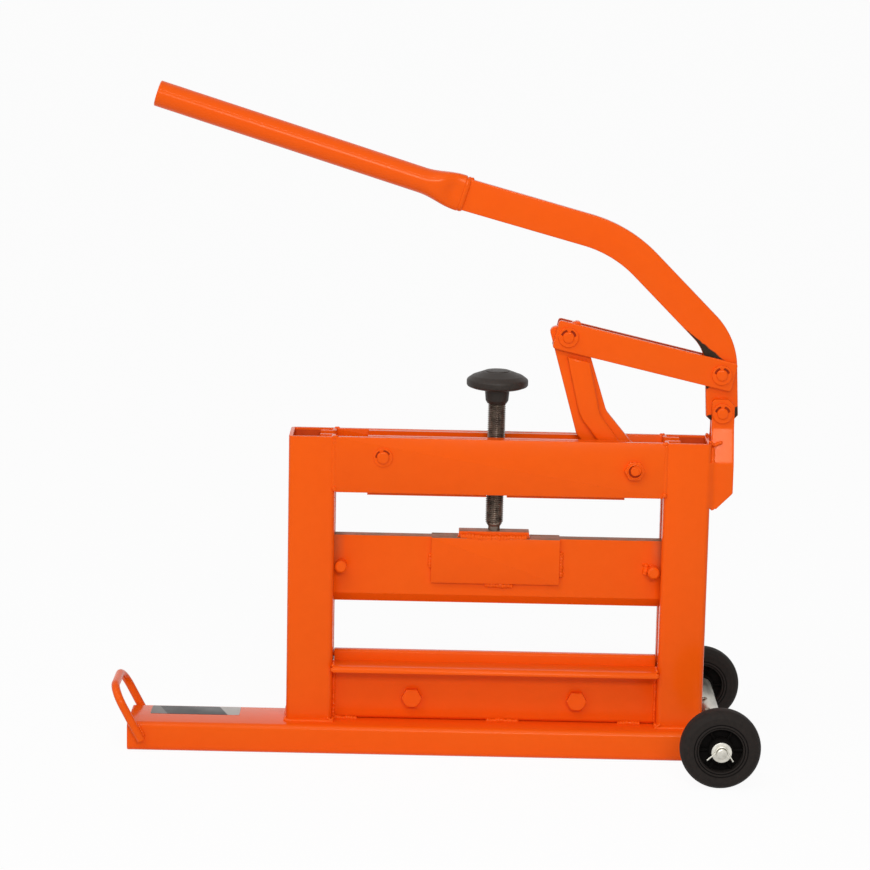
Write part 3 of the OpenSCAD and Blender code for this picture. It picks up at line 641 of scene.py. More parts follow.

# %% [markdown]
# The upper blade and its plates were sprayed from the front and from the back, so their tops only got a
# thin mist. The dark steel shows through there. Towards the blade's ends, at the posts, the upper part turns
# partly to the same dark colour. A mask on height and length gives both to the coat.


# %% Worn coat on the blade
def worn_coat(name, top, amount, ends=None):
    """Powder coat whose upward top face is bare by an amount, and which turns partly dark beyond an X at its
    ends.
    """
    made, tree = blank(name)
    place = object_place(tree)
    parts = add(tree, "ShaderNodeSeparateXYZ", {0: place}).outputs
    patchy = ranged(tree, spotted(tree, place, 60.0, 4.0), 0.3, 0.7, amount - 0.2, amount + 0.1)
    upper = ranged(tree, parts["Z"], (top - 0.5) * MM, (top - 0.1) * MM)
    bare = maths(tree, "MULTIPLY", upper, patchy)
    if ends:
        side = maths(tree, "ABSOLUTE", parts["X"])
        toward_ends = ranged(tree, side, (ends - 10) * MM, ends * MM, 0, 0.34)
        high = ranged(tree, parts["Z"], (top - 40) * MM, (top - 15) * MM)
        bare = maths(tree, "MAXIMUM", bare, maths(tree, "MULTIPLY", toward_ends, high))
    surface(tree, coat_nodes(tree, bare, ("#63543f", "#85745c")))
    return made


BEVEL = 9.3
EDGE_HALF = 0.5
low, high = box("upper_blade")
blade_coat = worn_coat("orange coat worn off the blade top", high[2], 0.85, post_in - 1)
saddle_coat = worn_coat("orange coat thin on the saddle top", high[2], 0.9)
section = rounded([(low[1], high[2]), (low[1], low[2] + BEVEL), (-EDGE_HALF, low[2]), (EDGE_HALF, low[2]),
                   (high[1], low[2] + BEVEL), (high[1], high[2])], [0.9, 0.8, 0.3, 0.3, 0.8, 0.9])
edge_bar = slab(section, low[0], high[0], 0.6, "yzx")
piece("upper_edge_bar", [edge_bar], "blade", blade_coat, ["upper_blade"])
for name in ("front_saddle", "back_saddle"):
    piece(name + "_plate", [block(*box(name), 0.6)], "blade", saddle_coat, [name])
low, high = box("thrust_block")
block_coat = worn_coat("orange coat thin on the block top", high[2], 0.8)
piece("thrust_bar", [block(low, high, 0.6)], "blade", block_coat, ["thrust_block"])

# %% [markdown]
# The cheeks are strips that start flat on the post, step inwards and end beside the lever. The strip is
# carried up along its own bent middle line, and its width follows the cut corners.

# %% Cheeks
CHEEK_T = 5.5
JOGGLE_LOW, JOGGLE_HIGH = 304.0, 339.0
TOP_CUT, FOOT_CUT = 6.3, 16.0


def cheek(side):
    """A strip carried up a bent line in Y and Z; each station is a rounded rectangle of its own width."""
    low, high = box("front_cheek")
    out_y, in_y = -low[1] - CHEEK_T / 2, -high[1] + CHEEK_T / 2
    line = bent([(out_y, low[2]), (out_y, JOGGLE_LOW), (in_y, JOGGLE_HIGH), (in_y, high[2])], 14, 10)
    line = spaced(line, 1.5)
    normal = across(unit(np.gradient(line, axis=0)))
    z = line[:, 1]
    cuts = np.clip(z - (high[2] - TOP_CUT), 0, 9) + np.clip(low[2] + FOOT_CUT - z, 0, FOOT_CUT)
    right_edge = high[0] - cuts
    left_edge = low[0] + np.clip(z - (high[2] - 3), 0, 3) ** 2 / 3
    ring = rounded(signs, 0.18, 3)
    x = (left_edge + right_edge)[:, None] / 2 + ring[None, :, 0] * (right_edge - left_edge)[:, None] / 2
    thick = ring[None, :, 1] * CHEEK_T / 2
    y = line[:, :1] + normal[:, :1] * thick
    z = line[:, 1:] + normal[:, 1:] * thick
    return skin(np.stack([x, side * y, z], -1), cap=True)


painted("front_cheek_plate", [cheek(-1)], "frame", ["front_cheek"])
painted("back_cheek_plate", [cheek(1)], "frame", ["back_cheek"])

# %% [markdown]
# ## Hand lever
# The lever is a flat bar that was bent twice on edge. Its outline is a ribbon along the bent middle line,
# with the two corners of its foot cut off.

# %% Outline of the lever bar
STEM, ARM = np.radians([2.9, 15.1])
STEM_L, SLOPE_L, ARM_L = 69.6, 144.5, 178.0
BAR_W, BAR_T = 32.0, 10.0
FOOT_L, FOOT_CORNER = 8.0, 4.6
stem_way = np.array([-math.sin(STEM), math.cos(STEM)])
arm_way = np.array([-math.cos(ARM), math.sin(ARM)])
knee = fulcrum + STEM_L * stem_way
elbow = knee + SLOPE_L * np.array([-math.sqrt(0.5), math.sqrt(0.5)])
arm_end = elbow + ARM_L * arm_way
lever_line = bent([fulcrum - FOOT_L * stem_way, knee, elbow, arm_end], [60, 130], 24)
lever_edge = ribbon(lever_line, BAR_W)
foot_a, foot_b = lever_edge[0], lever_edge[-1]
foot_way = FOOT_CORNER * unit(foot_b - foot_a)
lever_edge = np.concatenate([[foot_a + foot_way, foot_a + FOOT_CORNER * stem_way], lever_edge[1:-1],
                             [foot_b + FOOT_CORNER * stem_way, foot_b - foot_way]])
print("lever bar from", fulcrum.round(1), "to", arm_end.round(1))

# %% [markdown]
# The bar was sprayed with the handle pressed down. The links and the cheeks covered part of it then, so two
# strips of its faces stayed bare and dark: one runs from the upper pin along the link as it lay, one from
# the fulcrum. The strips are masks in the material, with an edge that noise makes ragged, because paint has
# no thickness to model.


# %% Bare strips on the bar
def vectors(tree, operation, inputs):
    """One node of vector arithmetic."""
    return add(tree, "ShaderNodeVectorMath", inputs, operation=operation)


def strip_mask(tree, place, centre, angle, below, above, back, reach):
    """1 inside a strip: between its two sides (dot with the normal) and between its two ends (dot along)."""
    c, s = math.cos(math.radians(angle)), math.sin(math.radians(angle))
    pin_at = (centre[0] * MM, 0, centre[1] * MM)
    from_pin = vectors(tree, "SUBTRACT", {0: place, 1: pin_at}).outputs[0]
    off, along = [vectors(tree, "DOT_PRODUCT", {0: from_pin, 1: way}).outputs["Value"]
                  for way in ((-s, 0, c), (c, 0, s))]
    width = maths(tree, "ABSOLUTE", maths(tree, "SUBTRACT", off, (below - above) / 2 * MM))
    half = (below + above) / 2
    inside = ranged(tree, width, (half - 0.5) * MM, (half + 0.5) * MM, 1, 0)
    begun = ranged(tree, along, -(back + 0.5) * MM, -(back - 0.5) * MM)
    ended = ranged(tree, along, (reach - 0.5) * MM, (reach + 0.5) * MM, 1, 0)
    return maths(tree, "MULTIPLY", inside, maths(tree, "MULTIPLY", begun, ended))


RAGGED = 2.2
masked, tree = blank("orange powder coat with bare strips")
place = object_place(tree)
noise = add(tree, "ShaderNodeTexNoise", {"Vector": place, "Scale": 240.0, "Detail": 3.0})
jitter = vectors(tree, "SCALE", {0: noise.outputs["Color"], "Scale": RAGGED * MM})
shaken = vectors(tree, "ADD", {0: place, 1: jitter.outputs[0]}).outputs[0]
link_strip = strip_mask(tree, shaken, upper_pin, 142.5, 19.0, 14.2, -1.0, 70.0)
cheek_strip = strip_mask(tree, shaken, fulcrum, 288.0, 22.0, 22.0, 2.2, 40.0)
from_middle = maths(tree, "ABSOLUTE", add(tree, "ShaderNodeSeparateXYZ", {0: place}).outputs["Y"])
on_face = ranged(tree, from_middle, (BAR_T / 2 - 0.8) * MM, (BAR_T / 2 - 0.2) * MM)
bare = maths(tree, "MULTIPLY", maths(tree, "MAXIMUM", link_strip, cheek_strip), on_face)
surface(tree, coat_nodes(tree, bare))
lever_bar = slab(lever_edge, -BAR_T / 2, BAR_T / 2, 1.3, "xzy", 4)
piece("hand_lever_bar", [lever_bar], "lever", masked, ["lever_bar"])

# %% [markdown]
# The handle is a round tube whose end was pressed flat over the bar and welded there. Each station of the
# tube is an oval, squarer and flatter near the mouth, with a shallow dent where the press left its mark.

# %% Handle tube
TUBE_R, TUBE_WALL = 13.0, 2.6
TUBE_TILT = math.radians(17.1)
FLAT, ROUND = 46.0, 271.4
OVERLAP = 13.3
SPREAD, SQUEEZE = 5.3, 5.0
DENT_AT, DENT_LONG, DENT_TALL = 11.0, 6.0, 7.5
tube_way = np.array([-math.cos(TUBE_TILT), math.sin(TUBE_TILT)])
tube_up = np.array([math.sin(TUBE_TILT), math.cos(TUBE_TILT)])
mouth = arm_end - OVERLAP * arm_way


def oval(at, tall, deep, power, dent=0.0):
    """Rings of a superellipse: |cos| and |sin| to the power 2 / power, with a dent amid the faces."""
    angle = np.linspace(0, 2 * math.pi, 64, endpoint=False)
    c, s = np.cos(angle), np.sin(angle)
    columns = [np.array(v, float).reshape(-1, 1) for v in (at, tall, deep, power, dent)]
    at, tall, deep, power, dent = columns
    high = tall * np.sign(c) * np.abs(c) ** (2 / power)
    out_y = deep * np.sign(s) * np.abs(s) ** (2 / power)
    out_y = out_y * (1 - dent * np.exp(-((high / DENT_TALL) ** 2)))
    centre = mouth + at * tube_way
    return np.stack([centre[:, :1] + high * tube_up[0], out_y, centre[:, 1:] + high * tube_up[1]], -1)


run = np.linspace(0, 1, 40) * FLAT
press = (np.cos(math.pi * np.clip((run - 3) / (FLAT - 6), 0, 1)) + 1) / 2
lip = 1.2 * np.clip(1 - run / 1.6, 0, 1) ** 2
dent = 0.18 * np.exp(-(((run - DENT_AT) / DENT_LONG) ** 2))
pressed = oval(run, TUBE_R + press * SPREAD - lip, TUBE_R - press**2.2 * SQUEEZE - lip, 2 + press * 1.5, dent)
end, wall_in = FLAT + ROUND, TUBE_R - TUBE_WALL
end_at = np.array([end - 0.8, end, end, end - 0.8, end - 60, end - 60])
end_r = np.array([TUBE_R, TUBE_R - 0.8, wall_in + 0.5, wall_in, wall_in, 0.0])
open_end = oval(end_at, end_r, end_r, np.full(6, 2.0))
painted("grip_tube", [skin(np.vstack([oval(0, 0, 0, 2), pressed, open_end]))], "lever", ["handle_tube"])

mouth_ring = oval(-0.8, 14.0, 3.6, 5.0)[0]
ring_path = np.vstack([mouth_ring, mouth_ring[:1]])
back_way = (-tube_way[0], 0, -tube_way[1])
ridge = mouth + 15.6 * tube_up
ridge_end = ridge - 7 * arm_way
ridge_path = [(ridge[0], 0, ridge[1]), (ridge_end[0], 0, ridge_end[1])]
mouth_beads = [bead(ring_path, 4.1, back_way, seed=3, wild=0.12), bead(ridge_path, 2.2, (0, 1, 0), seed=4)]
painted("grip_tube_weld", mouth_beads, "lever")

# %% [markdown]
# ## Links, rocker and pins
# The links are two straight strips, one on each side of the lever and of the rocker.

# %% Links
LINK_END, LINK_W = 13.0, 29.0
link_low, link_high = box("front_link")
link_way = unit(left_pin - upper_pin)
link_side = across(link_way)
half_side = link_side * LINK_W / 2
ends = (upper_pin - LINK_END * link_way, left_pin + LINK_END * link_way)
link_edge = rounded([ends[0] - half_side, ends[1] - half_side, ends[1] + half_side, ends[0] + half_side], 3.0)


def plate_pair(label, node, edge, bevel, body):
    """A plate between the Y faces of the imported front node, and the same plate mirrored to the back."""
    low, high = box("front_" + node)
    for name, near, far in (("front", low[1], high[1]), ("back", -high[1], -low[1])):
        painted(f"{name}_{label}", [slab(edge, near, far, bevel, "xzy")], body, [f"{name}_{node}"])


plate_pair("link_strip", "link", link_edge, 0.9, "link")

# %% [markdown]
# The rocker is a thick plate that widens from its eye to its boss and toe. A dog-leg stiffener is welded on
# each of its faces. The stiffener's top is cut along the link, so that the link has room to swing.

# %% Rocker
BOSS_R, TOE_ROUND = 19.0, 13.0
HUB_R, HUB_HALF = 8.0, 19.7
rocker_way = unit(np.array([-0.259, 0.966]))
rocker_side = across(rocker_way)
toe = rocker_axis - [34, 0]
eye = left_pin + 12.5 * rocker_way
waist, shoulder = rocker_axis + [-29, 56], rocker_axis + [-4, 26]
heel, ankle = toe + [-24.7, 32.5], toe + [-19, 25.6]
boss_turn, toe_turn = np.radians(np.linspace(40, -90, 9)), np.radians(np.linspace(-90, -165, 6))
round_boss = rocker_axis + BOSS_R * np.stack([np.cos(boss_turn), np.sin(boss_turn)], -1)
round_toe = toe + TOE_ROUND * np.stack([np.cos(toe_turn), np.sin(toe_turn)], -1)
eye_corners = [eye + 16.5 * rocker_side, eye - 15.5 * rocker_side]
rocker_corners = np.vstack([eye_corners, [waist, shoulder], round_boss, round_toe, [ankle, heel]])
rocker_edge = rounded(rocker_corners, [5, 4, 16, 6] + [0.5] * 15 + [3, 4], 6)
hub_pipe = turned([(0, -HUB_HALF), (HUB_R, -HUB_HALF), (HUB_R, HUB_HALF), (0, HUB_HALF)], rocker_axis)
rocker_plate = slab(rocker_edge, -BAR_T / 2, BAR_T / 2, 1.1, "xzy")
painted("rocker_body", [rocker_plate, hub_pipe], "rocker", ["rocker_plate"])

LINK_ROOM = 19.6
STIFF_TOP_W, STIFF_FOOT_W = 21.2, 17.5
stiff_top = left_pin - 12 * rocker_way + [3.5, 0]
stiff_bend = waist - [18.5, 4]
stiff_line = bent([stiff_top, stiff_bend, rocker_axis - [8, 0]], 40, 14)
stiff_w = np.linspace(STIFF_TOP_W, STIFF_FOOT_W, len(stiff_line))[:, None]
stiff_edge = ribbon(stiff_line + [1.8, 0], stiff_w)
down_way = unit(stiff_bend - stiff_top)
link_down = link_side * np.sign(-link_side[1])
for k in (0, -1):
    short = (LINK_ROOM - (stiff_edge[k] - left_pin) @ link_down) / (down_way @ link_down)
    stiff_edge[k] = stiff_edge[k] + short * down_way
plate_pair("stiffener", "doubler", stiff_edge, 2.2, "rocker")

# %% [markdown]
# The pins are turned down outside the plates, and a sprung ring snaps on there. Its bore is wide over the
# upper half, apart from one prong, and a thin dark disc behind it paints the shade in that gap. The ring is
# turned with a radius that depends on the angle.

# %% Pins and rings
STUD_R = PIN_R - 0.4
END_R = 5.8


def pin(centre, radius, low, high, bevel=1.0):
    """A round pin along Y with bevelled ends."""
    return turned([(0, low), (radius - bevel, low), (radius, low + bevel), (radius, high - bevel),
                   (radius - bevel, high), (0, high)], centre, steps=48)


def collar(centre, inner, outer, low, high):
    """A flat ring along Y with eased edges."""
    e = 0.35
    return turned([(inner, low), (outer - e, low), (outer, low + e), (outer, high - e), (outer - e, high),
                   (inner, high)], centre, steps=48, ring=True)


def neck_pin(centre, low, high, face, end_r):
    """A pin with rounded ends, turned down to end_r outside the plates' faces for its sprung rings."""
    near = bent([(0, low), (end_r, low), (end_r, -face)], 1.8, 5)
    far = bent([(end_r, face), (end_r, high), (0, high)], 1.8, 5)
    return turned(np.vstack([near, [(STUD_R, -face), (STUD_R, face)], far]), centre, steps=48)


def snap_ring(centre, low, high, turn, tight=5.7, wide=8.0, outer=10.0):
    """A sprung ring: bore = wide where sin > 0.16 and |cos| > 0.22, else tight, with a short ease between."""
    angle = np.linspace(0, 2 * math.pi, 144, endpoint=False)
    a = angle - math.radians(turn)
    upper = np.clip((np.sin(a) - 0.16) / 0.12, 0, 1) * np.clip((np.abs(np.cos(a)) - 0.22) / 0.1, 0, 1)
    bore = tight + (wide - tight) * upper
    e = 0.4
    rows = [(bore, low), (outer - e, low), (outer, low + e),
            (outer, high - e), (outer - e, high), (bore, high)]
    radius = np.array([np.broadcast_to(r, angle.shape) for r, _ in rows])
    height = np.broadcast_to(np.array([h for _, h in rows])[:, None], radius.shape)
    points = np.stack([centre[0] + radius * np.cos(angle), centre[1] + radius * np.sin(angle), height], -1)
    return skin(ordered(points, "xzy"), close_rows=True)


def gap_shade_discs(centre, face, reach=8.3):
    """A thin dark ring on each face of a plate pair: painted shade, seen through the gap of the sprung ring.
    """
    return [collar(centre, END_R - 1, reach, y - 0.3, y + 0.3) for y in (-face, face)]


print("pins are", round(2 * STUD_R, 2), "mm thick and", 2 * END_R, "mm at their ends")

# %% [markdown]
# The three pins of the linkage are alike, and the press pin through the top rails is a little larger. The
# ring on each pin has turned its own way. The back link's inner face is in the shade of the front one, and a
# thin dark sheet on it paints that shade.

# %% Pins of the linkage
ring_low, ring_high = box("fulcrum_rings")
plate_face = -link_low[1]
RING_FACES = ((plate_face, ring_high[1]), (ring_low[1], -plate_face))


def rings_on(centre, turn):
    """The two rings of a pin, their top prong turned by an angle in degrees."""
    return [snap_ring(centre, low, high, turn) for low, high in RING_FACES]


def stud(centre):
    """A pin through the two plates, as long as the fulcrum pin."""
    return neck_pin(centre, fulcrum_low[1], fulcrum_high[1], plate_face, END_R)


painted("fulcrum_stud", [stud(fulcrum)], "frame", ["fulcrum_pin"])
painted("fulcrum_collars", rings_on(fulcrum, 0), "frame", ["fulcrum_rings"])
painted("link_studs", [stud(upper_pin), stud(left_pin)], "link", ["link_pins"])
painted("link_collars", rings_on(upper_pin, 2) + rings_on(left_pin, -4), "link", ["link_rings"])
# thin dark discs under the rings paint the shade in their gaps
piece("fulcrum_gap_shade", gap_shade_discs(fulcrum, plate_face), "frame", painted_gap_shade)
# a thin dark sheet on the back link's inner face paints the shade of the front link
shade = slab(link_edge, -link_high[1] - 0.15, -link_high[1] + 1, 0.5, "xzy")
piece("back_link_shade", [shade], "link", painted_gap_shade)
link_gap_shade = gap_shade_discs(upper_pin, plate_face) + gap_shade_discs(left_pin, plate_face)
piece("link_gap_shade", link_gap_shade, "link", painted_gap_shade)

PRESS_END_R, PRESS_TURN = 6.3, 14
low, high = box("press_pin")
press_rings = [snap_ring(press_axis, y - 1.5, y + 1.5, PRESS_TURN, 6.2, 7.8, 9.6) for y in (-post_y, post_y)]
# thin dark discs under the press pin's rings paint the shade in their gaps
piece("press_gap_shade", gap_shade_discs(press_axis, post_y), "frame", painted_gap_shade)
press_stud = neck_pin(press_axis, low[1], high[1], post_y, PRESS_END_R)
painted("press_stud", [press_stud] + press_rings, "frame", ["press_pin"])
low, high = box("guide_pins")
guide_r, guide_z = (high[2] - low[2]) / 2, (high[2] + low[2]) / 2
guide_at = [(low[0] + guide_r, guide_z), (high[0] - guide_r, guide_z)]
painted("guide_studs", [pin(c, guide_r, low[1], high[1], 1.6) for c in guide_at], "blade", ["guide_pins"])

# %% [markdown]
# ## Bolts
# The bolts were painted with the frame. Two of them clamp the anvil, and the end of each shows a few turns
# of thread.

# %% Clamp bolts
FLATS = 18.0
HALF_POINTS = FLATS / math.sqrt(3)
BOLT_R = 6.0
low, high = box("clamp_bolts")
nut_low, nut_high = box("clamp_nuts")
clamp_z = (low[2] + high[2]) / 2
clamp_at = [(low[0] + HALF_POINTS, clamp_z), (high[0] - HALF_POINTS, clamp_z)]
web = -nut_low[1]
shank = [(0, web), (BOLT_R, web), (BOLT_R, -web), (0, -web)]
bolts = [hexed(c, FLATS, low[1], web) for c in clamp_at]
bolts += [turned(shank, c, steps=32) for c in clamp_at]
bolts += [threaded(c, 2 * BOLT_R, 1.75, 0.8, nut_high[1] - 1, high[1], "xzy", 32, 6) for c in clamp_at]
painted("clamp_hex_bolts", bolts, "frame", ["clamp_bolts"], sharp=25)
nuts = [hexed(c, FLATS, nut_high[1], nut_low[1]) for c in clamp_at]
painted("clamp_hex_nuts", nuts, "frame", ["clamp_nuts"], sharp=25)

# %% [markdown]
# The rocker turns on a long bolt with a lock nut. Such a nut has a round collar for its plastic insert. The
# bolt ends inside the collar, and paint has filled the gap on one side. A dark ring deeper in the recess
# paints the shade on the other side, which shows as a dark crescent.

# %% Rocker bolt and lock nut
END_BOLT_R = 4.4
low, high = box("rocker_bolt")
nut_low, nut_high = box("rocker_nut")
tip, face = low[1], nut_low[1]
shank = [(0, tip + 0.6), (END_BOLT_R - 0.8, tip + 0.6), (END_BOLT_R, tip + 1.4), (END_BOLT_R, -post_y),
         (BOLT_R, -post_y), (BOLT_R, post_y), (0, post_y)]
bolt = [hexed(rocker_axis, FLATS, high[1], post_y), turned(shank, rocker_axis, steps=40)]
painted("rocker_hex_bolt", bolt, "frame", ["rocker_bolt"], sharp=25)
collar_lip = bent([(6.4, face + 4.5), (6.4, face + 0.5), (6.7, face), (7.3, face + 0.2), (7.8, face + 1.3),
                   (7.85, face + 3)], [0.3, 0.3, 0.4, 0.5], 4)
lock_nut = [hexed(rocker_axis, FLATS, face + 1.5, nut_high[1], bore=6.7),
            turned(collar_lip, rocker_axis, steps=60, ring=True),
            collar(rocker_axis + [1.0, 0.9], 2.5, 5.3, face + 0.8, face + 3.0)]
# dark ring deep in the recess: painted shade, seen as a crescent beside the bolt
recess = [collar(rocker_axis, 4.2, 7.0, face + 2.6, face + 4.4)]
piece("rocker_nut_recess_shade", recess, "frame", painted_gap_shade)
painted("rocker_lock_nut", lock_nut, "frame", ["rocker_nut"], sharp=25)

# %% [markdown]
# ## Screw and knob
# The screw has a thread down to a turned neck, which a cross pin in the block holds. The knob is a plastic
# mushroom: a tapered hub, a rounded rim and a low dome with a small raised cap.

# %% Screw
NECK_R = 6.0
PITCH_MM, THREAD_DEEP = 2.0, 1.4
low, high = box("screw_spindle")
SCREW_D = high[0] - low[0]
thread_low = box("thrust_block")[1][2] + 7
knob_low, knob_high = box("knob")
neck = turned([(0, low[2]), (NECK_R - 0.4, low[2]), (NECK_R, low[2] + 0.4), (NECK_R, thread_low - 2.6),
               (SCREW_D / 2 - 1.2, thread_low + 0.2), (0, thread_low + 0.2)], (screw_x, 0), "xyz", 40)
screw = threaded((screw_x, 0), SCREW_D, PITCH_MM, THREAD_DEEP, thread_low, knob_low[2] + 3, "xyz", 40, 8)
piece("height_screw", [neck, screw], "screw", oiled, ["screw_spindle"], sharp=30)

# %% [markdown]
# The knob's profile is drawn from its foot to the middle of its cap. Every corner has its own radius, small
# at the seams of the moulding tool and large where a hand grips.

# %% Knob
knob_r = (knob_high[0] - knob_low[0]) / 2
profile = bent([(0, 0), (9.6, 0), (11.5, 3.2), (12.4, 13.5), (15.5, 15.0), (knob_r - 6, 15.8), (knob_r, 18.0),
                (knob_r, 24.5), (knob_r - 5.5, 28.5), (14.5, 32.6), (12.5, 32.8), (12.2, 33.5),
                (6, 34.0), (0, 34.0)],
               [0.5, 0.8, 1.5, 1.2, 3.5, 3.0, 3.2, 6.0, 0.4, 0.3, 0.3, 3.0], 6) + [0, knob_low[2]]
mushroom = turned(profile, (screw_x, 0), "xyz", 96)
piece("mushroom_knob", [mushroom], "screw", plastic, ["knob"], sharp=35)

# %% [markdown]
# ## Carry handle
# One round bar, bent twice, its legs welded to the sides of the base. The bends are laid out flat first and
# the flat path is then leaned back, as the bar was bent on a bench and then set at an angle.

# %% Loop
LOOP_R, LOOP_L = 4.25, 60.0
LEAN = math.radians(27.6)
loop_foot = np.array([-356.5, 12.5])
lean_way = np.array([-math.sin(LEAN), math.cos(LEAN)])
lean_side = np.array([math.cos(LEAN), math.sin(LEAN)])
low, high = box("carry_handle")
loop_y0, loop_y1 = low[1] + LOOP_R, high[1] - LOOP_R
flat_path = spaced(bent([(loop_y0, 0), (loop_y0, LOOP_L), (loop_y1, LOOP_L), (loop_y1, 0)], 20, 16), 2.0)
leaned = loop_foot + flat_path[:, 1:] * lean_way
loop_path = np.column_stack([leaned[:, 0], flat_path[:, 0], leaned[:, 1]])
loop_bar = rod(loop_path, LOOP_R, (lean_side[0], 0, lean_side[1]), 24)
painted("carry_loop_bar", [loop_bar], "frame", ["carry_handle"])

# %% [markdown]
# ## Wheels
# Small transport wheels: a crowned rubber tyre with a moulded step, on a hub with six ribs. Both are turned
# from a profile, and the ribs are small plates that stand on the web.

# %% Tyres and hubs
tyre_low, tyre_high = box("front_tyre")
hub_low, hub_high = box("front_hub")
TYRE_R, TYRE_HALF = (tyre_high[2] - tyre_low[2]) / 2, (tyre_high[1] - tyre_low[1]) / 2
RIM_R, HUB_HALF_W = (hub_high[2] - hub_low[2]) / 2, (hub_high[1] - hub_low[1]) / 2
BORE_R, BOSS_OUT = 5.05, 12.0
RIM_IN = RIM_R - 4.0
RIB_HALF = 1.4


def tyre(middle):
    """Half a crown mirrored: sidewall with a moulded step, round shoulder, and a slightly flat tread."""
    w = TYRE_HALF
    half = np.array([(RIM_R - 5.3, w - 1.8), (RIM_R - 5.0, w - 0.8), (RIM_R - 3.2, w - 0.8),
                     (RIM_R - 2.8, w + 0.4), (RIM_R - 1.8, w + 0.4), (RIM_R - 0.6, w - 0.3),
                     (RIM_R + 6, w - 0.4),
                     (TYRE_R - 3.2, w - 2.4), (TYRE_R - 0.5, w - 6.5), (TYRE_R, 2.0)])
    whole = np.vstack([half, half[::-1] * [1, -1]])
    corners = [0.2, 0.2, 0.3, 0.3, 0.5, 1.5, 3.0, 3.0, 2.0]
    return turned(bent(whole, corners + corners[::-1], 5) + [0, middle], axle_at, steps=96, ring=True)


def hub(middle):
    """Rim, thin web and boss turned from a mirrored half profile, with six ribs across the web."""
    w, b = TYRE_HALF, HUB_HALF_W
    half = np.array([(BORE_R, -b), (BOSS_OUT - 1, -b), (BOSS_OUT, -b + 1.2), (BOSS_OUT + 0.8, -3.2),
                     (RIM_IN - 0.8, -3), (RIM_IN, -w + 1), (RIM_IN + 1, -w), (RIM_R, -w)])
    section = np.vstack([half, half[::-1] * [1, -1]])
    shells = [turned(section + [0, middle], axle_at, steps=96, ring=True)]
    for angle in np.radians(np.arange(0, 360, 60)):
        way = np.array([math.cos(angle), math.sin(angle)])
        side = RIB_HALF * across(way)
        inner, outer = axle_at + (BOSS_OUT - 1) * way, axle_at + (RIM_IN + 1) * way
        edge = rounded([inner - side, outer - side, outer + side, inner + side], 0.3, 2)
        shells.append(slab(edge, middle - w + 5, middle + w - 5, 0.7, "xzy"))
    return shells


for name in ("front", "back"):
    wheel, middle = name + "_wheel", joint[name + "_wheel_spin"][1]
    piece(wheel + "_tyre", [tyre(middle)], wheel, rubber, [name + "_tyre"], sharp=30)
    piece(wheel + "_hub", hub(middle), wheel, hub_black_shaded, [name + "_hub"])

# %% [markdown]
# A zinc tube crosses the frame behind the right post. The axle through it ends in a washer and a wire clip
# at each wheel. The clip is one bent wire, so it is a rod along an arch and two legs.

# %% Axle, washers and clips
AXLE_R = 5.0
WASHER_R, WASHER_T = 10.0, 2.0
WIRE_R, ARCH_R = 0.75, 6.0


def plated(name, shells, replaces):
    """A piece of the axle in zinc plate."""
    piece(name, shells, "frame", zinc, replaces)


low, high = box("axle_tube")
tube_r = (high[2] - low[2]) / 2
sleeve = [(BORE_R, low[1] + 0.4), (tube_r - 0.4, low[1]), (tube_r, low[1] + 0.4), (tube_r, high[1] - 0.4),
          (tube_r - 0.4, high[1]), (BORE_R, high[1] - 0.4)]
plated("axle_sleeve", [turned(sleeve, axle_at, steps=48, ring=True)], ["axle_tube"])
low, high = box("axle")
plated("axle_rod", [pin(axle_at, AXLE_R, low[1], high[1], 0.8)], ["axle"])
low, high = box("axle_washers")
washers = [collar(axle_at, BORE_R, WASHER_R, y, y + WASHER_T) for y in (low[1], high[1] - WASHER_T)]
plated("axle_flat_washers", washers, ["axle_washers"])


def clip(y):
    """Wire over the axle: half a circle, then two legs that spread, 33 and 48 degrees off the upright."""
    angle = np.radians(np.linspace(0, 180, 25))
    arch = ARCH_R * np.column_stack([np.cos(angle), np.sin(angle)])
    reach = np.array([0.35, 0.7, 1.0])[:, None]
    right_leg = arch[0] + 10 * reach * np.array([math.sin(math.radians(33)), -math.cos(math.radians(33))])
    left_leg = arch[-1] + 11 * reach * np.array([-math.sin(math.radians(48)), -math.cos(math.radians(48))])
    path = spaced(np.vstack([right_leg[::-1], arch, left_leg]) + axle_at, 0.8)
    return rod(np.column_stack([path[:, 0], np.full(len(path), y), path[:, 1]]), WIRE_R, (0, 1, 0), 12)


low, high = box("split_pins")
plated("axle_wire_clips", [clip(low[1] + 1.0), clip(high[1] - 1.0)], ["split_pins"])

# %% [markdown]
# ## Inner pieces
# The press plates, the nut block and the cross pins sit between the rails and are seen only in part. Their
# solids are right as they are and only get their finish.

# %% Finishes of the solids that stay
for node, look in (("front_press_plate", powder), ("back_press_plate", powder), ("nut_block", oiled),
                   ("toe_pin", oiled)):
    mesh = frame["nodes"][node].data
    mesh.materials.clear()
    mesh.materials.append(look)
low, high = box("tip_retainer")
retainer_at = (low[[0, 2]] + high[[0, 2]]) / 2
cross_pin = pin(retainer_at, (high[2] - low[2]) / 2, low[1] + 0.4, high[1] - 0.4, 0.3)
painted("screw_tip_retainer", [cross_pin], "blade", ["tip_retainer"])
print("inner solids dressed")

# %% [markdown]
# ## Welds
# Each joint of the frame is held by a bead of melted wire. Every bead is noted as its two ends and its
# radius, and they are all made at the end. Long seams on show were run smoothly, so they have a list of
# their own. First come the feet of the posts, the ends of the rails and the ends of the anvil.

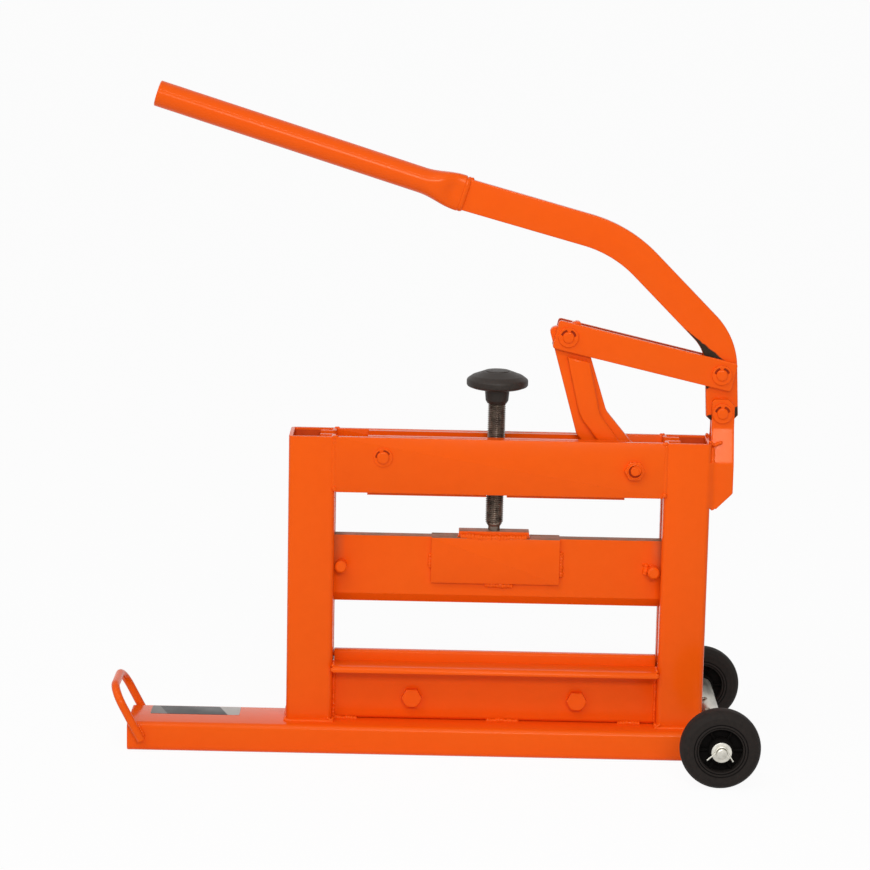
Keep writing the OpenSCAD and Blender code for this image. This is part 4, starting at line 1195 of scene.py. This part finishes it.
# %% Beads of the posts
LEG_Y = 11.6
base_top = base_high[2]
rail_low, rail_high = box("front_top_rail")
angle_low, angle_high = box("front_anvil_angle")
rail_foot, rail_top, anvil_top = rail_low[2], rail_high[2], angle_high[2]
frame_beads, smooth_beads = [], []
for side in (-1, 1):
    outer, inner = side * post_out, side * post_in
    near, inside = inner - side, inner + 2 * side
    frame_beads.append(((outer, -post_y, base_top + 0.6), (outer, post_y, base_top + 0.6), 2.4))
    for face in (-1, 1):
        y, leg, nose = face * post_y, face * LEG_Y, -face * angle_low[1]
        groove = (inner + 1.2 * side, y - 3.0 * face)
        smooth_beads += [((near, y, base_top + 0.2), (outer + side, y, base_top + 0.2), 2.0),
                         ((*groove, rail_foot + 1), (*groove, rail_top - 1), 3.2)]
        corner_a = (inner + 5 * side, y - 0.4 * face, base_top + 5)
        corner_b = (inner - 2 * side, y + 0.2 * face, base_top - 1.5)
        frame_beads += [
            (corner_a, corner_b, 1.7),
            ((inner, y - 2.2 * face, base_top + 1), (inner, y - 16 * face, base_top + 1), 2.4),
            ((inner - 3, y - 1.2 * face, rail_top - 1), (inner + 3, y - 2 * face, rail_top), 1.8),
            ((near, y - 1.2 * face, rail_foot + 1), (inside, y - 0.6 * face, rail_foot + 6), 2.6),
            ((near, leg, base_top + 2), (near, leg, anvil_top - 8), 1.7),
            ((near, nose - 2 * face, anvil_top - 6), (near, nose - 3 * face, anvil_top - 1), 2.4),
            ((near, nose - 4 * face, anvil_top - 0.3), (near, leg, anvil_top), 1.6)]
print(len(frame_beads), "beads and", len(smooth_beads), "smooth seams at the posts")

# %% [markdown]
# Short beads hold the anvil to the base, the cheeks to the right post, the carry handle's legs to the
# base's sides and the axle tube to the base.

# %% Beads of the anvil, cheeks, handle and axle tube
ANVIL_RUNS = ((-164, -139), (-8, 26), (126, 150))
SEAM_LOW, SEAM_TOP, HOOK_Z = 303, 321, 323
cheek_low = box("front_cheek")[0]
cheek_foot = cheek_low[2]
for y in (-LEG_Y, LEG_Y):
    frame_beads += [((x0, y, base_top + 0.6), (x1, y, base_top + 0.6), 2.2) for x0, x1 in ANVIL_RUNS]
for face in (-1, 1):
    x, y = post_out, -cheek_low[1] * face
    smooth_beads.append(((x + 1.2, y - face, SEAM_LOW), (x + 1.2, y - 5 * face, SEAM_TOP), 2.7))
    frame_beads += [((x - 3, y, HOOK_Z + 4), (x + 3, y - 3 * face, HOOK_Z), 1.7),
                    ((x + 2, y - 3 * face, HOOK_Z), (x + 11, y - 4.5 * face, HOOK_Z + 3), 1.7),
                    ((x + 0.5, y - 2 * face, cheek_foot), (x + 5, y - 2 * face, cheek_foot), 1.9)]
for y in (loop_y0 + LOOP_R * 0.7, loop_y1 - LOOP_R * 0.7):
    for k in (-1, 1):
        shift = k * LOOP_R * 0.9 * lean_side
        start, stop = loop_foot + 2 * lean_way + shift, loop_foot + 15 * lean_way + shift
        frame_beads.append(((start[0], y, start[1]), (stop[0], y, stop[1]), 1.7))
tube_x = axle_at[0] - 6
frame_beads += [((tube_x, y, base_top + 1), (tube_x, y + 12, base_top + 1), 2.0) for y in (-30, 16)]
print(len(frame_beads), "beads and", len(smooth_beads), "smooth seams on the frame")

# %% [markdown]
# The cheeks lie on the post, and their long edges were filled and ground: a fillet there follows an S-curve
# from the post's face to the cheek's. The rest of the notes become beads: the frame's each with its own seed,
# the smooth seams all with one.


# %% Make the frame's welds
def upright(start, stop):
    """The fixed direction for a bead: up, or Y for a bead that stands upright."""
    run = np.abs(np.subtract(stop, start))
    return (0, 0, 1) if run[2] < 0.7 * np.linalg.norm(run) else (0, 1, 0)


def welded(notes, seed, step=1, wild=1.0):
    """Beads from notes of start, stop and radius; each next one draws from a seed that is step higher."""
    return [bead([a, b], r, upright(a, b), seed=seed + step * k, wild=wild)
            for k, (a, b, r) in enumerate(notes)]


FILLET_BACK, FILLET_W = 4.5, 9.5
k = np.linspace(0, 1, 11)
rise = 3 * k**2 - 2 * k**3
fillet_x = post_out - FILLET_BACK
fillet = np.column_stack([fillet_x + FILLET_W * k, -post_y - 0.05 + (post_y + cheek_low[1]) * rise])
fillet = np.vstack([fillet, [(fillet_x + FILLET_W, cheek_low[1] + 3), (fillet_x, cheek_low[1])]])
fillets = [slab(edge, cheek_foot + 1, SEAM_LOW + 3, 0.5, "xyz") for edge in (fillet, fillet[::-1] * [1, -1])]
beads = welded(frame_beads, 10) + fillets + welded(smooth_beads, 80, 0, 0.25)
painted("frame_welds", beads, "frame", sharp=60)
tack_z = axle_at[1] + 9.4
tacks = [bead([(post_out + 2, y, tack_z), (post_out + 9, y, tack_z)], 1.8, seed=90) for y in (-20, 20)]
piece("axle_tube_tacks", tacks, "frame", oiled, sharp=60)

# %% [markdown]
# On the blade, beads hold the block at its foot, the saddle plates at their lower edge and their ends, and
# a blob sits beside the right guide pin.

# %% Beads on the blade
low, high = box("thrust_block")
saddle_low, saddle_high = box("front_saddle")
blade_half = -box("upper_blade")[0][1]
blade_beads = []
for face in (-1, 1):
    block_y, seam_y, y = (high[1] + 1.4) * face, blade_half * 1.15 * face, blade_half * face
    block_z, seam_z = low[2] + 0.7, saddle_low[2] - 1.6
    left_x, right_x = saddle_low[0] - 0.8, saddle_high[0] + 1.2
    x, z = guide_at[1][0] - 8.0, guide_at[1][1]
    blade_beads += [((low[0] + 1, block_y, block_z), (high[0] - 1, block_y, block_z), 2.9),
                    ((-13, seam_y, seam_z), (17, seam_y, seam_z), 2.6),
                    ((left_x, y, 188), (left_x, y, 204), 2.4),
                    ((right_x, y, 181), (right_x, y, 208), 2.8),
                    ((x, y, z - 5), (x + 1.5, y, z + 7), 3.0),
                    ((x - 2, y, z + 4), (x - 1, y, z + 7), 2.4)]
end_z = low[2] + 0.3
blade_beads += [((x, low[1] + 1, end_z), (x, high[1] - 1, end_z), 1.2) for x in (low[0], high[0])]
painted("blade_welds", welded(blade_beads, 60), "blade", sharp=60)

# %% [markdown]
# ## The bare plate
# A thin self-adhesive film lies on the base, to the left of the left post. It is left plain: three slanted
# fields of satin grey and silver, nothing printed on it. The fields are a mask along a slanted line.

# %% Plate on the base
FILM_CORNERS = [(-351, -9), (-260, -9), (-260, 20), (-351, 20)]
FILM_T = 0.25
DARK_FROM, DARK_TO = -337.0, -275.5
film, tree = blank("plain satin film")
place = object_place(tree)
parts = add(tree, "ShaderNodeSeparateXYZ", {0: place}).outputs
slant = maths(tree, "ADD", maths(tree, "MULTIPLY", parts["Y"], 0.35), parts["X"])
begun, ended = [ranged(tree, slant, x * MM, (x + 1) * MM) for x in (DARK_FROM, DARK_TO)]
field = mix_colour(tree, begun, linear("#6f6a66"), linear("#2a2725"))
tint = mix_colour(tree, ended, field, linear("#aaa6a1"))
worn = ranged(tree, spotted(tree, place, 45.0, 4.0), 0.3, 0.7, 0.28, 0.45)
surface(tree, add(tree, "ShaderNodeBsdfPrincipled", {"Base Color": tint, "Roughness": worn, "Metallic": 0.2}))
outline = rounded(FILM_CORNERS, 2.0)
piece("plain_film", [slab(outline, base_top, base_top + FILM_T, 0.1, "xyz")], "frame", film)
